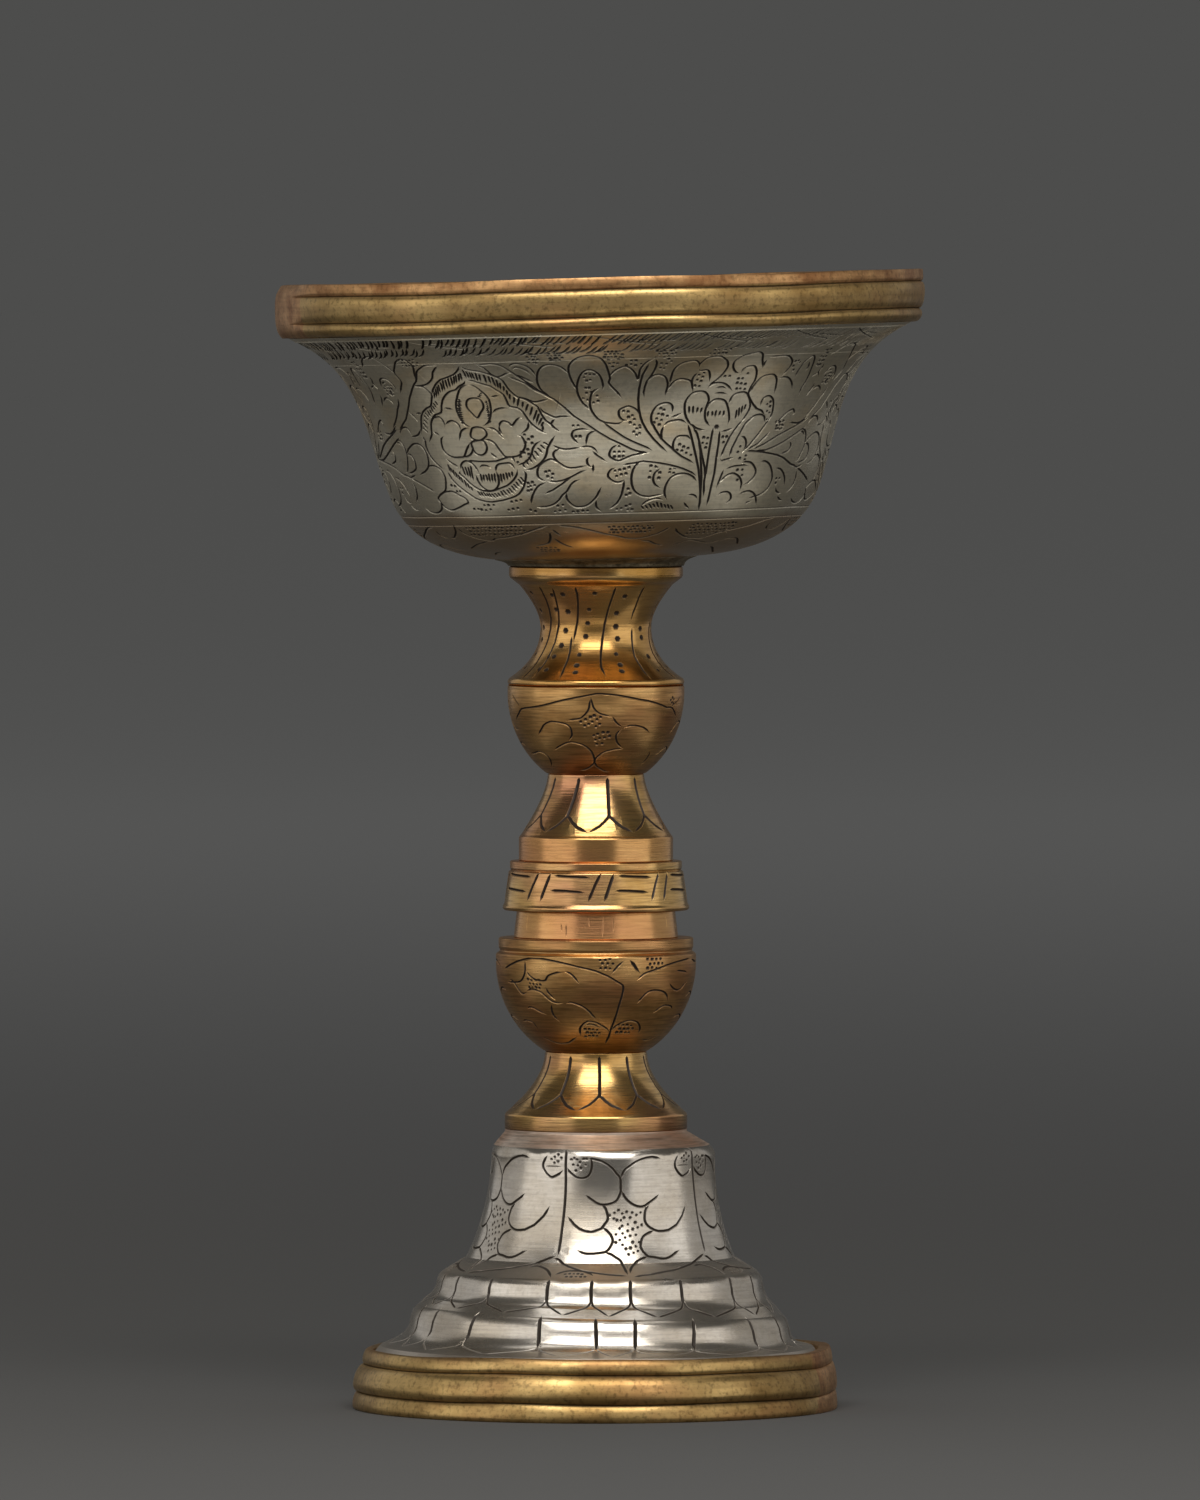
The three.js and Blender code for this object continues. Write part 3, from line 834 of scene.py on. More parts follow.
    uneven = add(tree, "ShaderNodeTexNoise", {"Vector": place, "Scale": 1 / (dent_size * MM),
                                              "Detail": 1.5}).outputs["Fac"]
    soft = add(tree, "ShaderNodeBump", {"Height": uneven, "Distance": dents * MM,
                                        "Strength": 1.0}).outputs["Normal"]
    fine = add(tree, "ShaderNodeBump", {"Height": lathe, "Distance": ring_height * MM, "Strength": 1.0,
                                        "Normal": soft}).outputs["Normal"]
    tree.links.new(fine, shader.inputs["Normal"])
    return material


# Warm tan with dark specks, half glossy: the beads look rubbed, old dirt sits in the grooves, and the middle
# of some beads carries painted shade.
moulding_brass = worked_metal("drawn brass strip, tarnished", "#dcb878", "#a2814e", "#2c2013",
                              blush="#bf8f5c", blush_share=0.25, streaks=0.15, dents=0.16, dent_size=5.0,
                              stains_and_shade=((7.1, 12, "#b8845a", 0.35),), specks=0.45)

# Copper brown and a little duller, so the lip's edge and the soldered joints stand out from the strips.
lip_copper = worked_metal("worn lip, copper brown", "#dcab74", "#a2734a", "#3a2818", gloss=(0.28, 0.4),
                          streaks=0.25, dents=0.12, cloud=4.0, specks=0.4)

# Golden and the glossiest: long clear highlights on every curve, and a browner tint round some joints.
stem_brass = worked_metal("turned brass, waxed and aged", "#f2c884", "#d2a35f", "#2a1b0e", blush="#d69a70",
                          gloss=(0.11, 0.21), rings=0.22, streaks=0.45,
                          stains_and_shade=((33.4, 35.3, "#8a6440", 0.75), (58.0, 61.9, "#e2a266", 0.5),
                                  (67.6, 71.2, "#e2a266", 0.5), (89.0, 102.4, "#dda052", 0.4),
                                  (103.0, 105.5, "#a87a36", 0.7)), stain_rough=0.04)

# Browner and softer than the stem: the two cups look handled, and their leaves stay readable in the dark.
knop_brass = worked_metal("turned brass, tarnished brown", "#e8b877", "#c29056", "#1d1209", blush="#c98a5c",
                          gloss=(0.19, 0.3), blush_share=0.35, rings=0.22, streaks=0.45)

# Pale cream with a yellow blush, brown at the seat as a painted shade on the underside that faces the floor,
# and nearly black in the cuts: the drawing is what shows.
white_metal = worked_metal("raised nickel silver, darkened", "#f0e6ce", "#d8cdb2", "#231b13",
                           gloss=(0.2, 0.28), rings=0.3, cloud=14.0, streaks=0.16, ring_height=0.006,
                           tilt=-BOWL_LEAN, blush="#dcc090", stains_and_shade=((104, 110.6, "#a07c50", 0.65),),
                           stain_rough=0.0, specks=0.14)

# A cool pink silver that mirrors the lights in broad shapes, and dulls where the lotus bands begin.
silvering = worked_metal("silvered sheet, worn", "#ece3d6", "#cdc0ad", "#342b21", gloss=(0.12, 0.22),
                         cloud=12.0, rings=0.3, ring_height=0.006, streaks=0.18, dents=0.14,
                         stains_and_shade=((16.6, 18.4, "#c0ae98", 0.45), (6.0, 8.3, "#b0a496", 0.5)),
                         stain_rough=0.25, specks=0.12)

# Dull rose with coarse rings: the shoulder takes the light as one soft patch between two glossy metals.
bared_copper = worked_metal("bell shoulder, silver worn off the copper", "#f2dfcd", "#cdb29b", "#6b5646",
                            gloss=(0.38, 0.48), rings=0.22, ring_height=0.03, streaks=0.6, blush="#cfa587",
                            cloud=5.0)

# Grey brown, pitted and dull: a dark seam that parts the bowl from its collar.
solder_grey = worked_metal("solder and brass filings, dull", "#a3957a", "#6d6048", "#1c1610",
                           gloss=(0.4, 0.52), cloud=1.6, dents=0.25, dent_size=1.1, rings=0.4, streaks=0.3,
                           specks=0.6)

# Dark and dull: it only shows from below, at the bottom of the hollow foot.
rod_steel = worked_metal("mild steel rod, dull", "#77716a", "#55504a", "#15110c", gloss=(0.4, 0.55))


def dress(piece, material):
    """Gives a piece its one material."""
    piece.data.materials.clear()
    piece.data.materials.append(material)
    return piece


# %% [markdown]
# ## Foot and bell

# %% [markdown]
# Foot moulding: a strip of drawn brass with three beads, bent to a ring, soldered on the right and carrying
# the bell on a ledge inside. It could be three rings laid on a band, but one turned outline keeps the
# grooves as one piece of metal has them. The grooves are filled at the joint, where solder ran in, and the
# ring is bent by a few tenths of a millimetre, as hands left it.

# %% Foot
foot_inner = 27.6
ledge_inner = 26.2
ledge_top = 1.2
outline = [(ledge_inner, 0.0), (foot_inner + 2.2, 0.0)]
for height, crown, groove in ((2.2, 2.45, 1.75), (3.45, 2.3, 0.85), (1.95, 1.2, 0.4)):
    bead(outline, foot_inner + groove, height, foot_inner + crown)
foot_top = outline[-1][1]
outline += [(foot_inner, foot_top - 0.2), (foot_inner, ledge_top), (ledge_inner, ledge_top)]
# Dirt darkens the two grooves; the faint ring at 4.3 mm is painted shade across the middle bead.
foot_moulding = tarnish_and_shade(turn("foot_strip", outline), (2.2, 0.35, 0.4), (5.65, 0.35, 0.4), (4.3, 0.9, 0.12))
foot_joint = join_ends(foot_moulding, 84, 24, foot_inner + 0.3,
                       lambda height: foot_inner + 2.2 - 0.02 * (height - 3.4) ** 2 * (height > 3.4), 0.6)
hand_made(foot_moulding, 0.16, 0.3, 4.0, low=0.4)
dress(foot_moulding, moulding_brass)
foot_moulding.data.materials.append(lip_copper)
for face in foot_moulding.data.polygons:
    if face.center.xy.length > (foot_inner + 0.2) * MM and foot_joint(face.center) > 0.45:
        face.material_index = 1
stand_for(foot_moulding, "moulding_brass", "foot_moulding")

# %% [markdown]
# Bell: copper sheet, raised, silvered and chased. Its wall has a hem, two lotus bands that step out, a tall
# hollow flank and a rolled shoulder. They meet in edges, so each is a run of the outline of its own.

# %% Bell wall
hem = [(27.4, 7.0), (26.8, 7.7)]
low_slope = [(26.8, 7.7), (25.1, 8.3)]
low_band = carry(carry([(25.1, 8.3)], (23.95, 8.8), (23.6, 9.9)), (23.4, 11.8), (22.5, 12.3))
high_slope = [(22.5, 12.3), (21.5, 13.4)]
high_band = carry(carry([(21.5, 13.4)], (20.7, 13.8), (20.3, 15.0)), (20.15, 16.8), (19.45, 17.0))
flank_slope = [(19.45, 17.0), (16.6, 18.8)]
flank = carry([(16.6, 18.8)], (14.0, 24.4), (13.82, 31.3))
lip = carry([(13.82, 31.3)], (13.8, 32.35), (13.35, 32.65), 8)
shoulder = carry([(13.35, 32.65)], (12.45, 33.35), (11.25, 34.3))
neck = [(11.25, 34.3), (11.25, 34.6)]
bell_runs = runs_of(hem, low_slope, low_band, high_slope, high_band, flank_slope, flank, lip, shoulder, neck)
bell_skin = skin_of(bell_runs)
bell_design = new_design(bell_skin)
print("bell wall", round(length_of(bell_skin), 1), "mm along")

# %% [markdown]
# The bell carries five panels of paired scrolls between upright dividers, with punched ground between the
# scrolls, a pair of dotted moons at each divider's head and a scalloped hem. The two bands under it are
# lotus petals.

# %% Bell panel
flank_foot = float(bell_skin[5]["along"][0])


def from_flank(text):
    """Rows of points measured from the foot of the bell's flank, leaning against the bell's set-over."""
    return [[(degrees - 1.8 - along * 0.11, along * 1.035 + flank_foot) for degrees, along in row]
            for row in rows_in(text)]


panel = from_flank("""
-15.8 17.2, -16 15.2, -15.7 13.5, -15.6 12, -15.7 10, -16 8, -16.2 6.5, -16.5 5, -16.7 4.1
-4.5 15.9, -2 15.9, 0 15.8, 3 15.6, 6 15.2, 8.5 14.7, 10.5 14.1, 12 13.7, 12.4 13.2, 12.4 12.5,
  12.4 12, 11.5 11.5, 10.3 11, 8.5 10.7, 5.5 10.5, 2 10.5, -0.5 10.8, -3 11.2, -5.7 11.7
12.5 13.5, 13.5 14.2, 15 14.7, 17.5 15.1, 20 15.5, 23 15.8, 26 16, 29.5 16.1, 32 16, 34.5 15.9
12.7 12.2, 14 11.5, 16 10.9, 19 10.4, 22 10.2, 24.5 10.3, 26.5 10.6, 28.5 10.9, 30.5 11.2, 33 11.7
2.3 10.4, 3.7 10.3, 4.7 10, 5.4 9.5, 5.8 9, 5.5 8.6, 4.7 8.3, 3.5 7.9, 2.5 7.6, 0.5 7.4, -2 7.2,
  -5 7.3, -8 7.6, -10.5 8.1, -12.3 8.6, -14 9.1
27 10.5, 25.5 10.1, 24.5 9.7, 24 9.2, 23.8 8.6, 24.5 8.1, 26 7.7, 28 7.4, 30.5 7.2, 33 7.2, 36 7.3,
  38.5 7.6, 41 7.9, 43.5 8.5, 45.5 9, 47 9.6, 48.5 10.3
3 7.8, 4.5 7.5, 5.8 7.2, 6.8 6.9, 7.5 6.5, 7.8 6.1, 7.3 5.7, 6.5 5.3, 5.3 4.9, 4 4.7, 2 4.6, -1 4.5,
  -4 4.5, -6.5 4.7, -8.5 5
28 7.3, 25 7, 22.8 6.7, 21.5 6.3, 20.7 5.7, 20.5 5.3, 21 4.9, 22 4.5, 23.5 4.1, 26 4, 29 3.8, 32 3.8,
  35 4.1, 37.5 4.5, 39.8 4.8
4 4.7, 7 4.4, 9 4, 10.5 3.7, 11.3 3.3, 11.8 2.5, 12.1 1.8, 12.5 0.9
23.5 4.1, 20 3.8, 18 3.5, 16.5 3.1, 15.2 2.6, 14.3 2.1, 13.5 1.2
-26.3 16.3, -27.5 15.9, -28.6 15.4, -28.8 15, -28.2 14.6, -26.5 14.1, -24 13.7, -22 13.8, -19.5 14.1,
  -18 14.4, -17.2 14.6
-15.2 14.9, -14 14.4, -12 14, -10 13.7, -7 13.6, -4.5 13.8, -3 14.3, -2.3 15, -2.5 15.6, -3.5 16.2
-18.6 3.9, -16 3.7, -14 3.2, -11 2.6, -7 2, -2 1.5, 5 1, 12.5 0.7
14.5 0.5, 18 0.8, 22 1, 27 1.4, 32 1.7, 37 2.2, 42 2.7, 47 3.3, 51 3.8, 54.5 4.2
-15.5 0.9, -13.5 1.4, -11 1.7, -8.5 1.8, -5 1.7, -3 1.4, -1.5 1.1, -0.5 0.6
-28.5 2.4, -26 2.6, -24 2.6, -21 2.2, -19 1.7, -17.5 1, -16.5 0.3
""")
for row in panel:
    cut(bell_design, row, width=0.38, depth=0.15)
for row in from_flank("""
-27.5 15, -23 15, -18.2 15
12.9 3.5, 13.2 2.8, 13.3 2
"""):
    cut(bell_design, row, width=0.2, depth=0.06)
marks = from_flank("""
6.6 9.2, 9 9.5, 11 9.8, 12.8 9.4, 15 9.6, 19.8 9.2, 22 9.5, 11.3 7.6, 12.5 7, 15 7.3, 15.3 8.1,
  13.6 6.5, 16 6.7, 17.5 7.5, 18.8 6.8, 20 7.7, 22.2 8, 19 8.3, 9.2 5.9
14.6 4.4, 15.7 5.2, 16.9 4.6, 17 5.9, 18.2 5.4, 19 4.8, 20 5.9, 8.6 8.8, 10.2 8.6, 12 8.6, 13.6 8.9,
  16.6 8.9, 17.8 9.5, 12.4 7.9, 9.4 6.9, 11 6.2, 12.2 5.6, 13.6 5.1
-24 15.8, -22.2 16.1, -20.3 16.4, -18.5 16, -22.3 15.4, -20.3 15.6, -13 15.8, -11.5 16, -10 15.8,
  -8.5 15.5, -6.5 15.9, -5 15.9, -12 15.2, -8 14.8, -5.5 15.2, -9.5 15.1, -10.5 14.5
-11.5 1.1, -9.8 1.2, -8.2 1.2, -6.6 1.2, -5 1.1, -10.8 0.6, -9 0.6, -7.2 0.6, -5.4 0.6, -3.8 0.6
""")
for row in marks:
    for degrees, along in row:
        dot(bell_design, degrees, along, width=0.5 * chance.uniform(0.8, 1.25), depth=0.12)

# %% [markdown]
# Lotus bands: a deep upright cut parts each petal from the next, and finer cuts meet in its point. They
# were struck by eye, so no two petals are as wide as each other.

# %% Lotus bands
for here, after in ((-18.6, -3.0), (-3.0, 10.7), (10.7, 29.8), (29.8, 53.4)):
    tip = here + (after - here) * 0.42
    cut(bell_design, [(here + 0.2, 13.4), (here - 0.1, 12.0), (here, 10.3)],
        width=0.48, depth=0.18, enter=0.4, leave=0.3)
    cut(bell_design, [(here, 10.7), (here + 0.6, 10.0), (here + 2.4, 9.3), (tip, 8.2)],
        width=0.32, depth=0.13, enter=0.3, leave=0.5)
    cut(bell_design, [(after, 10.6), (after - 0.8, 10.0), (after - 3, 9.3), (tip, 8.2)],
        width=0.3, depth=0.12, enter=0.3, leave=0.4)
for foot, head, after in ((-18.3, -18.8, -1.0), (-1.0, -1.4, 10.3), (10.3, 11.0, 28.5), (28.5, 30.6, 53.7)):
    tip = foot + (after - foot) * 0.45
    cut(bell_design, [(head, 8.1), ((foot + head) / 2, 6.0), (foot, 3.4)],
        width=0.52, depth=0.2, enter=0.9, leave=0.9)
    cut(bell_design, [(foot + 0.3, 3.5), (foot + 1.6, 3.0), (tip, 1.6)], width=0.24, depth=0.06, enter=0.3)
    cut(bell_design, [(after - 0.3, 3.5), (after - 1.8, 3.0), (tip, 1.6)], width=0.24, depth=0.06, enter=0.3)
    for _ in range(3):
        dot(bell_design, foot + chance.uniform(-1.2, 1.2), 3.5 + chance.uniform(-0.35, 0.35),
            width=0.3, depth=0.08)
print("bell design", len(bell_design["cuts"]), "cuts", len(bell_design["dots"]), "punch marks")

# %% [markdown]
# The bell doesn't stand quite straight on its foot: it was raised by eye, and its shoulder sits 0.9 mm to
# the right of the stem, while its lower lotus band runs down 1.5 degrees to the right. So the closed piece
# is pushed over a little, more with its height, and its lower band is slanted.

# %% Bell
base_bell = chase("bell", bell_design, repeats=5, left=-52.0, waver=(0.9, 0.0))
bpy.ops.object.mode_set(mode="EDIT")
inside = []
for run in reversed(bell_skin):
    for point, out in list(zip(run["points"], run["outward"]))[::-4]:
        inside.append(tuple(point - out * SHEET))
inside = [p for p in inside if p[1] < 33.4]
top = [(ROD_BORE, 34.6), (ROD_BORE, 33.6), (10.2, 33.6)]
hem_outer = 27.4
hem_inner = 26.4
extend(base_bell, (11.25, 34.6), top + inside + [(hem_inner, 6.4), (hem_inner, ledge_top)])
extend(base_bell, (hem_outer, 7.0), [(hem_outer, ledge_top), (hem_inner, ledge_top)])
finish_closing(base_bell)
settle_normals(base_bell, bell_skin)
set_over = ((7.4, 8.9, 17, 32.2, 34.2), (0, 0.5, 0.5, 0.93, 0))
slanted = ((7.5, 9, 12.6, 16.6), (0, 1, 1, 0))
slant = 0.026
for vertex in base_bell.data.vertices:
    if vertex.co.xy.length > 10.5 * MM:
        vertex.co.x += MM * float(np.interp(vertex.co.z / MM, *set_over))
        vertex.co.z -= slant * vertex.co.x * float(np.interp(vertex.co.z / MM, *slanted))
dress(base_bell, silvering)
base_bell.data.materials.append(bared_copper)
for face in base_bell.data.polygons:
    if face.center.z > 32.62 * MM and face.normal.z > -0.2:
        face.material_index = 1
stand_for(base_bell, "silvering", "base_bell")


# %% [markdown]
# ## Stem

# %% [markdown]
# Six pieces of cast brass were turned, drilled, chased and threaded on the rod. One function makes them
# all. It takes an outline that starts at the piece's own foot and a function that draws the cuts, rounds
# the edges as wear does, and closes the piece round the bore for the rod.

# %% Stem pieces
def stem_piece(name, node, runs, repeats=1, left=-180.0, draw=None, material=None):
    """Chases, closes, dresses and places one piece of the stem."""
    skin = skin_of(soften(runs_of(*runs, lift=foot_of(node)), 0.13))
    design = new_design(skin)
    if draw:
        draw(design)
    piece = chase(name, design, repeats=repeats, left=left, grid=0.9)
    close_round_bore(piece, skin)
    settle_normals(piece, skin)
    dress(piece, material or stem_brass)
    stand_for(piece, "stem_brass", node)


def knop_cup(foot, radius, cup):
    """The rounded side of a cup, from its foot to its full radius."""
    steps = 30
    depth = cup / math.sqrt(1 - (foot / radius) ** 2)
    return [(radius * math.sqrt(1 - ((cup - cup * i / steps) / depth) ** 2), cup * i / steps)
            for i in range(steps + 1)]


# %% [markdown]
# The two flares carry pointed petals. A petal is an upright between its neighbours and a V at its foot.

# %% Petal flares
def petals(design, uprights, head, fork, tip, width=0.44):
    """Petals between uprights that run from `head` down to `fork`; their feet meet in points at `tip`."""
    head = min(head, length_of(design["skin"]) - 0.45)
    drop = fork - tip
    for (here, foot), (_, after) in zip(uprights, uprights[1:] + [(0, uprights[0][1] + 360)]):
        middle = (foot + after) / 2 + chance.uniform(-1.2, 1.2)
        bend = ((here + foot) / 2 + chance.uniform(-0.5, 0.5), (head + fork) / 2)
        left_side = (foot + (middle - foot) * 0.5, fork - drop * 0.62)
        right_side = (after + (middle - after) * 0.5, fork - drop * 0.58)
        cut(design, [(here, head), bend, (foot, fork + 0.3), (foot + 1.5, fork - 0.1), left_side,
                     (middle, tip)], width=width, depth=0.16, enter=0.3)
        cut(design, [(after, fork + 0.3), (after - 1.5, fork - 0.1), right_side, (middle, tip)],
            width=width * 0.85, depth=0.14, enter=0.2)


def lower_petals(design):
    uprights = [(-63, -62), (-29.5, -30.3), (3.7, 3), (37, 36), (68, 69)]
    uprights += [(angle + 1, angle) for angle in (102, 134, 166, 199, 231, 264)]
    petals(design, uprights, 12.2, 5.5, 3.1)


def upper_petals(design):
    uprights = [(-57, -61), (-20.3, -26.5), (13.8, 12.2), (53, 50.5)]
    uprights += [(angle + 2, angle) for angle in (87, 122, 158, 195, 229, 265)]
    petals(design, uprights, 11.9, 6.2, 3.95, width=0.48)


# %% [markdown]
# Lower flare: a plain band under a cone that draws in to the next piece like a trumpet.

# %% Lower flare
stem_piece("lower_petal_flare", "lower_flare", [
    [(11.3, 0), (11.3, 1.85)], [(11.3, 1.85), (11.05, 2.1)],
    carry([(11.05, 2.1)], (6.3, 6.2), (6.3, 9.6), 24)],
    draw=lower_petals)

# %% [markdown]
# Lower knop: a deep cup with a lip, engraved with a large leaf whose lobes curl over stippled ground. The
# drawing covers half of the cup and is copied to the other half.

# %% Lower knop
def lower_knop_leaves(design):
    draw_lines(design, """
        -66 12.6, -58 13.2, -52 13.6, -46 13.9, -40 14.1, -35 14.1, -30.6 14, -20 13.6, -10 13.1, 0 12.6,
          7.5 11.9, 13.7 11.1, 16.2 10.6, 15.6 9.3, 14.4 8.1, 13.1 6.6, 12.1 5.7, 11 4.7, 10.2 3.5, 8 2
        -44.8 13.8, -45 12.6, -46.2 11.9, -49.4 11.2, -54.4 11, -64.4 11
        -62 11.3, -58 11.2, -56 10.9, -53.5 10.3, -52 9.9, -50 9.6, -47 9.7, -45 9.9
        -44.5 12.6, -43 12.2, -41 11.8, -37 11.4, -33 11.3, -30.5 11.4, -29 11.9, -26 12.2, -22 12.4,
          -18.5 12.4
        -19 12.6, -15 12.3, -12 11.7, -9.5 10.9
        -46 9.9, -42 10.2, -38 10.1, -34 9.8, -31 9.2, -28 8.7, -24 8.5, -20 8.5
        -31 10.6, -29.5 9.8, -27 9.2, -25 8.8
        -19 8.4, -16 8.6, -12 8.4, -8 8, -4 7.3, -1 6.5, 0.2 6
        -50 7.5, -47 7.8, -43 7.7, -38 7.2, -34 6.8
        -28.5 8.4, -29.3 7.6, -29 6.8, -27 6.2, -25 5.8
        -62 5.7, -57 5.9, -53 5.8, -50 5.6, -48.5 4.9, -49.5 4.3
        -50 3.4, -46 3, -41 2.5, -36 2.2, -30 2.2, -24 2.4, -19 3, -15 3.5
        -12 3.6, -11.8 4.7, -9.5 5.4, -6 5.9, -3 5.9, 1 5.7, 5 5.2, 8.5 4.7, 10 4.2
        -8 5.2, -5 5.5, -1 5.4, 4 4.9
        11.5 4.5, 14 5.2, 18 5.7, 22 6, 26 6, 30 5.7, 33 5.1, 34.5 4.4, 33.5 3.8
        8.7 12.2, 12.5 13.2, 16.9 14
        24.4 11.4, 28.7 12.2, 35 12.6, 45 13.2, 56 13.6, 70 13.9
        26 8.4, 29 9.2, 32.5 9.9, 37 10.1, 42 10, 46 9.7, 48.5 9.2, 50 8.6
        40 7, 43 7.5, 47 8, 52 8, 56 7.8, 59 7.2
        53 12.5, 58 12.4, 63 12.3, 67 12.1
        48 11, 52 10.3, 57 10, 61 10.2, 65 10.8, 68 11
        42 2.9, 48 2.7, 54 3, 59 3.5
        72 13.8, 80 13.4, 88 13.4, 96 13.6, 104 13.2, 110 12.7
        70 9, 76 9.6, 83 9.5, 89 8.8, 92 8
        64 6.2, 70 6.6, 77 6.5, 82 6, 86 5.2
        96 9.2, 101 10, 107 10.2, 112 9.9
        94 5.6, 100 6.4, 107 6.3, 112 5.8
    """, width=0.34, depth=0.13)
    cut(design, [(19.5, 14), (22, 13.4), (24, 12.8), (26.2, 12.3)], width=0.5, depth=0.16)
    stipple(design, "-43 10.4", "-33 11.4", 3, 4)
    stipple(design, "-8 3.6", "4 4.7", 3, 4)
    stipple(design, "16 4.2", "29 5.3", 3, 4)
    stipple(design, "2.5 12.9", "11 14", 3, 3)
    stipple(design, "31 12.9", "43 14", 3, 4)


stem_piece("lower_cup_knop", "lower_knop", [
    knop_cup(6.3, 12.4, 11.2) + [(12.4, 12.1)], [(12.4, 12.1), (11.85, 12.5)],
    [(11.85, 12.5), (12.05, 12.9)], [(12.05, 12.9), (12.05, 14.1)]],
    repeats=2, left=-65.0, draw=lower_knop_leaves, material=knop_brass)

# %% [markdown]
# Lower drum: a short plain piece, narrower at its top. Only a file's upright scratches mark it.

# %% Plain drum
def scratches(low, high, count):
    """Upright scratches of a file, a few tenths of a millimetre wide and hardly sunk."""
    def draw(design):
        for _ in range(count):
            degrees = chance.uniform(-180, 180)
            foot, top = chance.uniform(low, (low + high) / 2), chance.uniform((low + high) / 2, high)
            cut(design, [(degrees, foot), (degrees + chance.uniform(-1.5, 1.5), top)], width=0.2, depth=0.04)
    return draw


stem_piece("plain_drum", "lower_drum", [[(10.2, 0), (9.8, 3.4)]], draw=scratches(0.3, 3.1, 26))

# %% [markdown]
# Waist band: a cone between a lip and a rim, struck with slanted pairs and level strokes.

# %% Waist band
def waist_strokes(design):
    pairs = [(-48, -36.7), (-4, 6.2), (38.5, 49)]
    pairs += [(angle, angle + 11) for angle in (84, 129, 173, 218, 264)]
    for (a, b), (c, _) in zip(pairs, pairs[1:] + [(pairs[0][0] + 360, 0)]):
        cut(design, [(a - 1, 1.5), (a + 3.2, 3.5), (a + 8, 5.3)], width=0.42, depth=0.16)
        cut(design, [(b - 1, 1.5), (b + 2.4, 3.4), (b + 6, 5.2)], width=0.46, depth=0.16)
        cut(design, [(b + 8, 4.75), (b + 16, 4.65), (c + 1, 4.5)], width=0.4, depth=0.14)
        cut(design, [(b + 6, 2.9), (b + 16, 2.85), (c - 2.5, 2.65)], width=0.42, depth=0.14)


stem_piece("struck_band", "waist_band", [
    [(11.45, 0), (11.6, 0.425)], [(11.6, 0.425), (11.35, 0.85)], [(11.35, 0.85), (10.8, 4.85)],
    [(10.8, 4.85), (10.45, 4.975)], [(10.45, 4.975), (10.65, 5.1)], [(10.65, 5.1), (10.65, 6.1)]],
    draw=waist_strokes)

# %% [markdown]
# Upper flare: made as the lower one, narrower, on a taller band.

# %% Upper flare
stem_piece("upper_petal_flare", "upper_flare", [
    [(9.55, 0), (9.55, 2.95)], [(9.55, 2.95), (9.3, 3.2)],
    carry([(9.3, 3.2)], (5.95, 8.4), (5.95, 10.8), 24)],
    draw=upper_petals)

# %% [markdown]
# Upper knop: a smaller cup without a lip. Its leaves spread like a star from a punched middle.

# %% Upper knop
def upper_knop_star(design):
    draw_lines(design, """
        -70 8.3, -66 8.8, -62 9.3, -58.5 9.7, -50 9.9, -45 10, -35 10.3, -22 10.9, -8 11.4, 0 11.7, 4 11.7,
          15 11.5, 29 11, 36 10.8, 43 10.5, 49 10.2, 54 9.9, 58 9.9, 62 9.7, 70 8.6
        -72 11.6, -66 10.8, -61 10.1, -58.5 9.7
        58 9.9, 62 10.2, 67 10.6, 74 11.3
        -3.5 11.4, -2.9 10.8, -2 10.2, -0.5 9.7, 2 9.3, 5 9.1, 9 8.9, 11 8.8
        -3.5 11.2, -4.5 10, -6 9.4, -8.5 8.9, -11 8.6, -15 8.5, -18 8.4, -21 8.3
        11 9, 12 8.6, 13 8.3, 15 7.9, 17.5 7.6, 19.5 7.4
        19.5 7.4, 22 7.6, 25 7.7, 28 7.7, 31 7.6, 35 7.4, 39 7, 42 6.6
        18.5 7.3, 16.5 7, 15 6.6, 14.5 6.2, 15.5 5.6, 17.5 5.1, 19.5 4.8, 22 4.5
        21.9 4.5, 16 4.5, 11.2 4.3, 6 4, 3 3.6, 0.5 3.2, -1.2 2.7, 0 1.9, 2.5 1.5, 6 1.1, 10 0.8, 15 0.7
        48 1.8, 50 2.5, 50.5 3.2, 50 3.8, 48 4.2
        -35 4.3, -30 4.8, -25 5.2, -18.7 5.5, -10 5.1, -5 4.4, -2.5 3.7, -1.2 2.7, -2 2.2, -4.5 1.8,
          -7.5 1.4, -12 1.1, -17.5 0.9
        -46 6.4, -43 6.9, -38.7 7.7, -34 8.1, -31.2 8.2, -26 8.1, -21.2 7.9, -18.3 7.5, -17.4 7, -17.5 6.4,
          -19.5 5.9, -21.3 5.5
        -70 3.6, -60 3.8, -55 4, -50 3.9, -47 3.6, -45 3.1, -45 2.6, -47 2, -50 1.5
        66 6.5, 70 7.4, 76 8, 83 8, 89 7.4, 92 6.6
        96 8.6, 99 7.6, 104 7.1, 110 7
        60 3.4, 66 4.2, 73 4.6, 80 4.2, 84 3.4, 86 2.4
        92 4.6, 97 5.2, 104 5.2, 109 4.7
    """, width=0.32, depth=0.13)
    punch(design, """
        -1.1 9, -3.7 8.8, -6.9 8.5, -2.5 8.2, 0.6 8.5, -5 7.9, -7.7 7.7, 0 7.6, 2.5 7.9, 3.1 8.8, 5 6.8,
        8.5 6.8, 1.2 6.6, -1.5 6.4, 9.7 6.3, 6.2 6.1, 2.7 6, -0.4 5.8, 0.6 5.2, 4.6 5.3, -10.3 8.2,
        58 10.8, 60 11.1, 62 10.9, 59.5 10.5, 61.5 10.4
    """)
    stipple(design, "90 8.9", "102 10.5", 3, 3)


stem_piece("upper_cup_knop", "upper_knop", [knop_cup(6.1, 10.95, 10.1) + [(10.95, 10.9)]],
           repeats=2, left=-70.0, draw=upper_knop_star, material=knop_brass)

# %% [markdown]
# The spool's narrow leaves stand upright and lean a little to the right, with a column of punch marks in
# each.

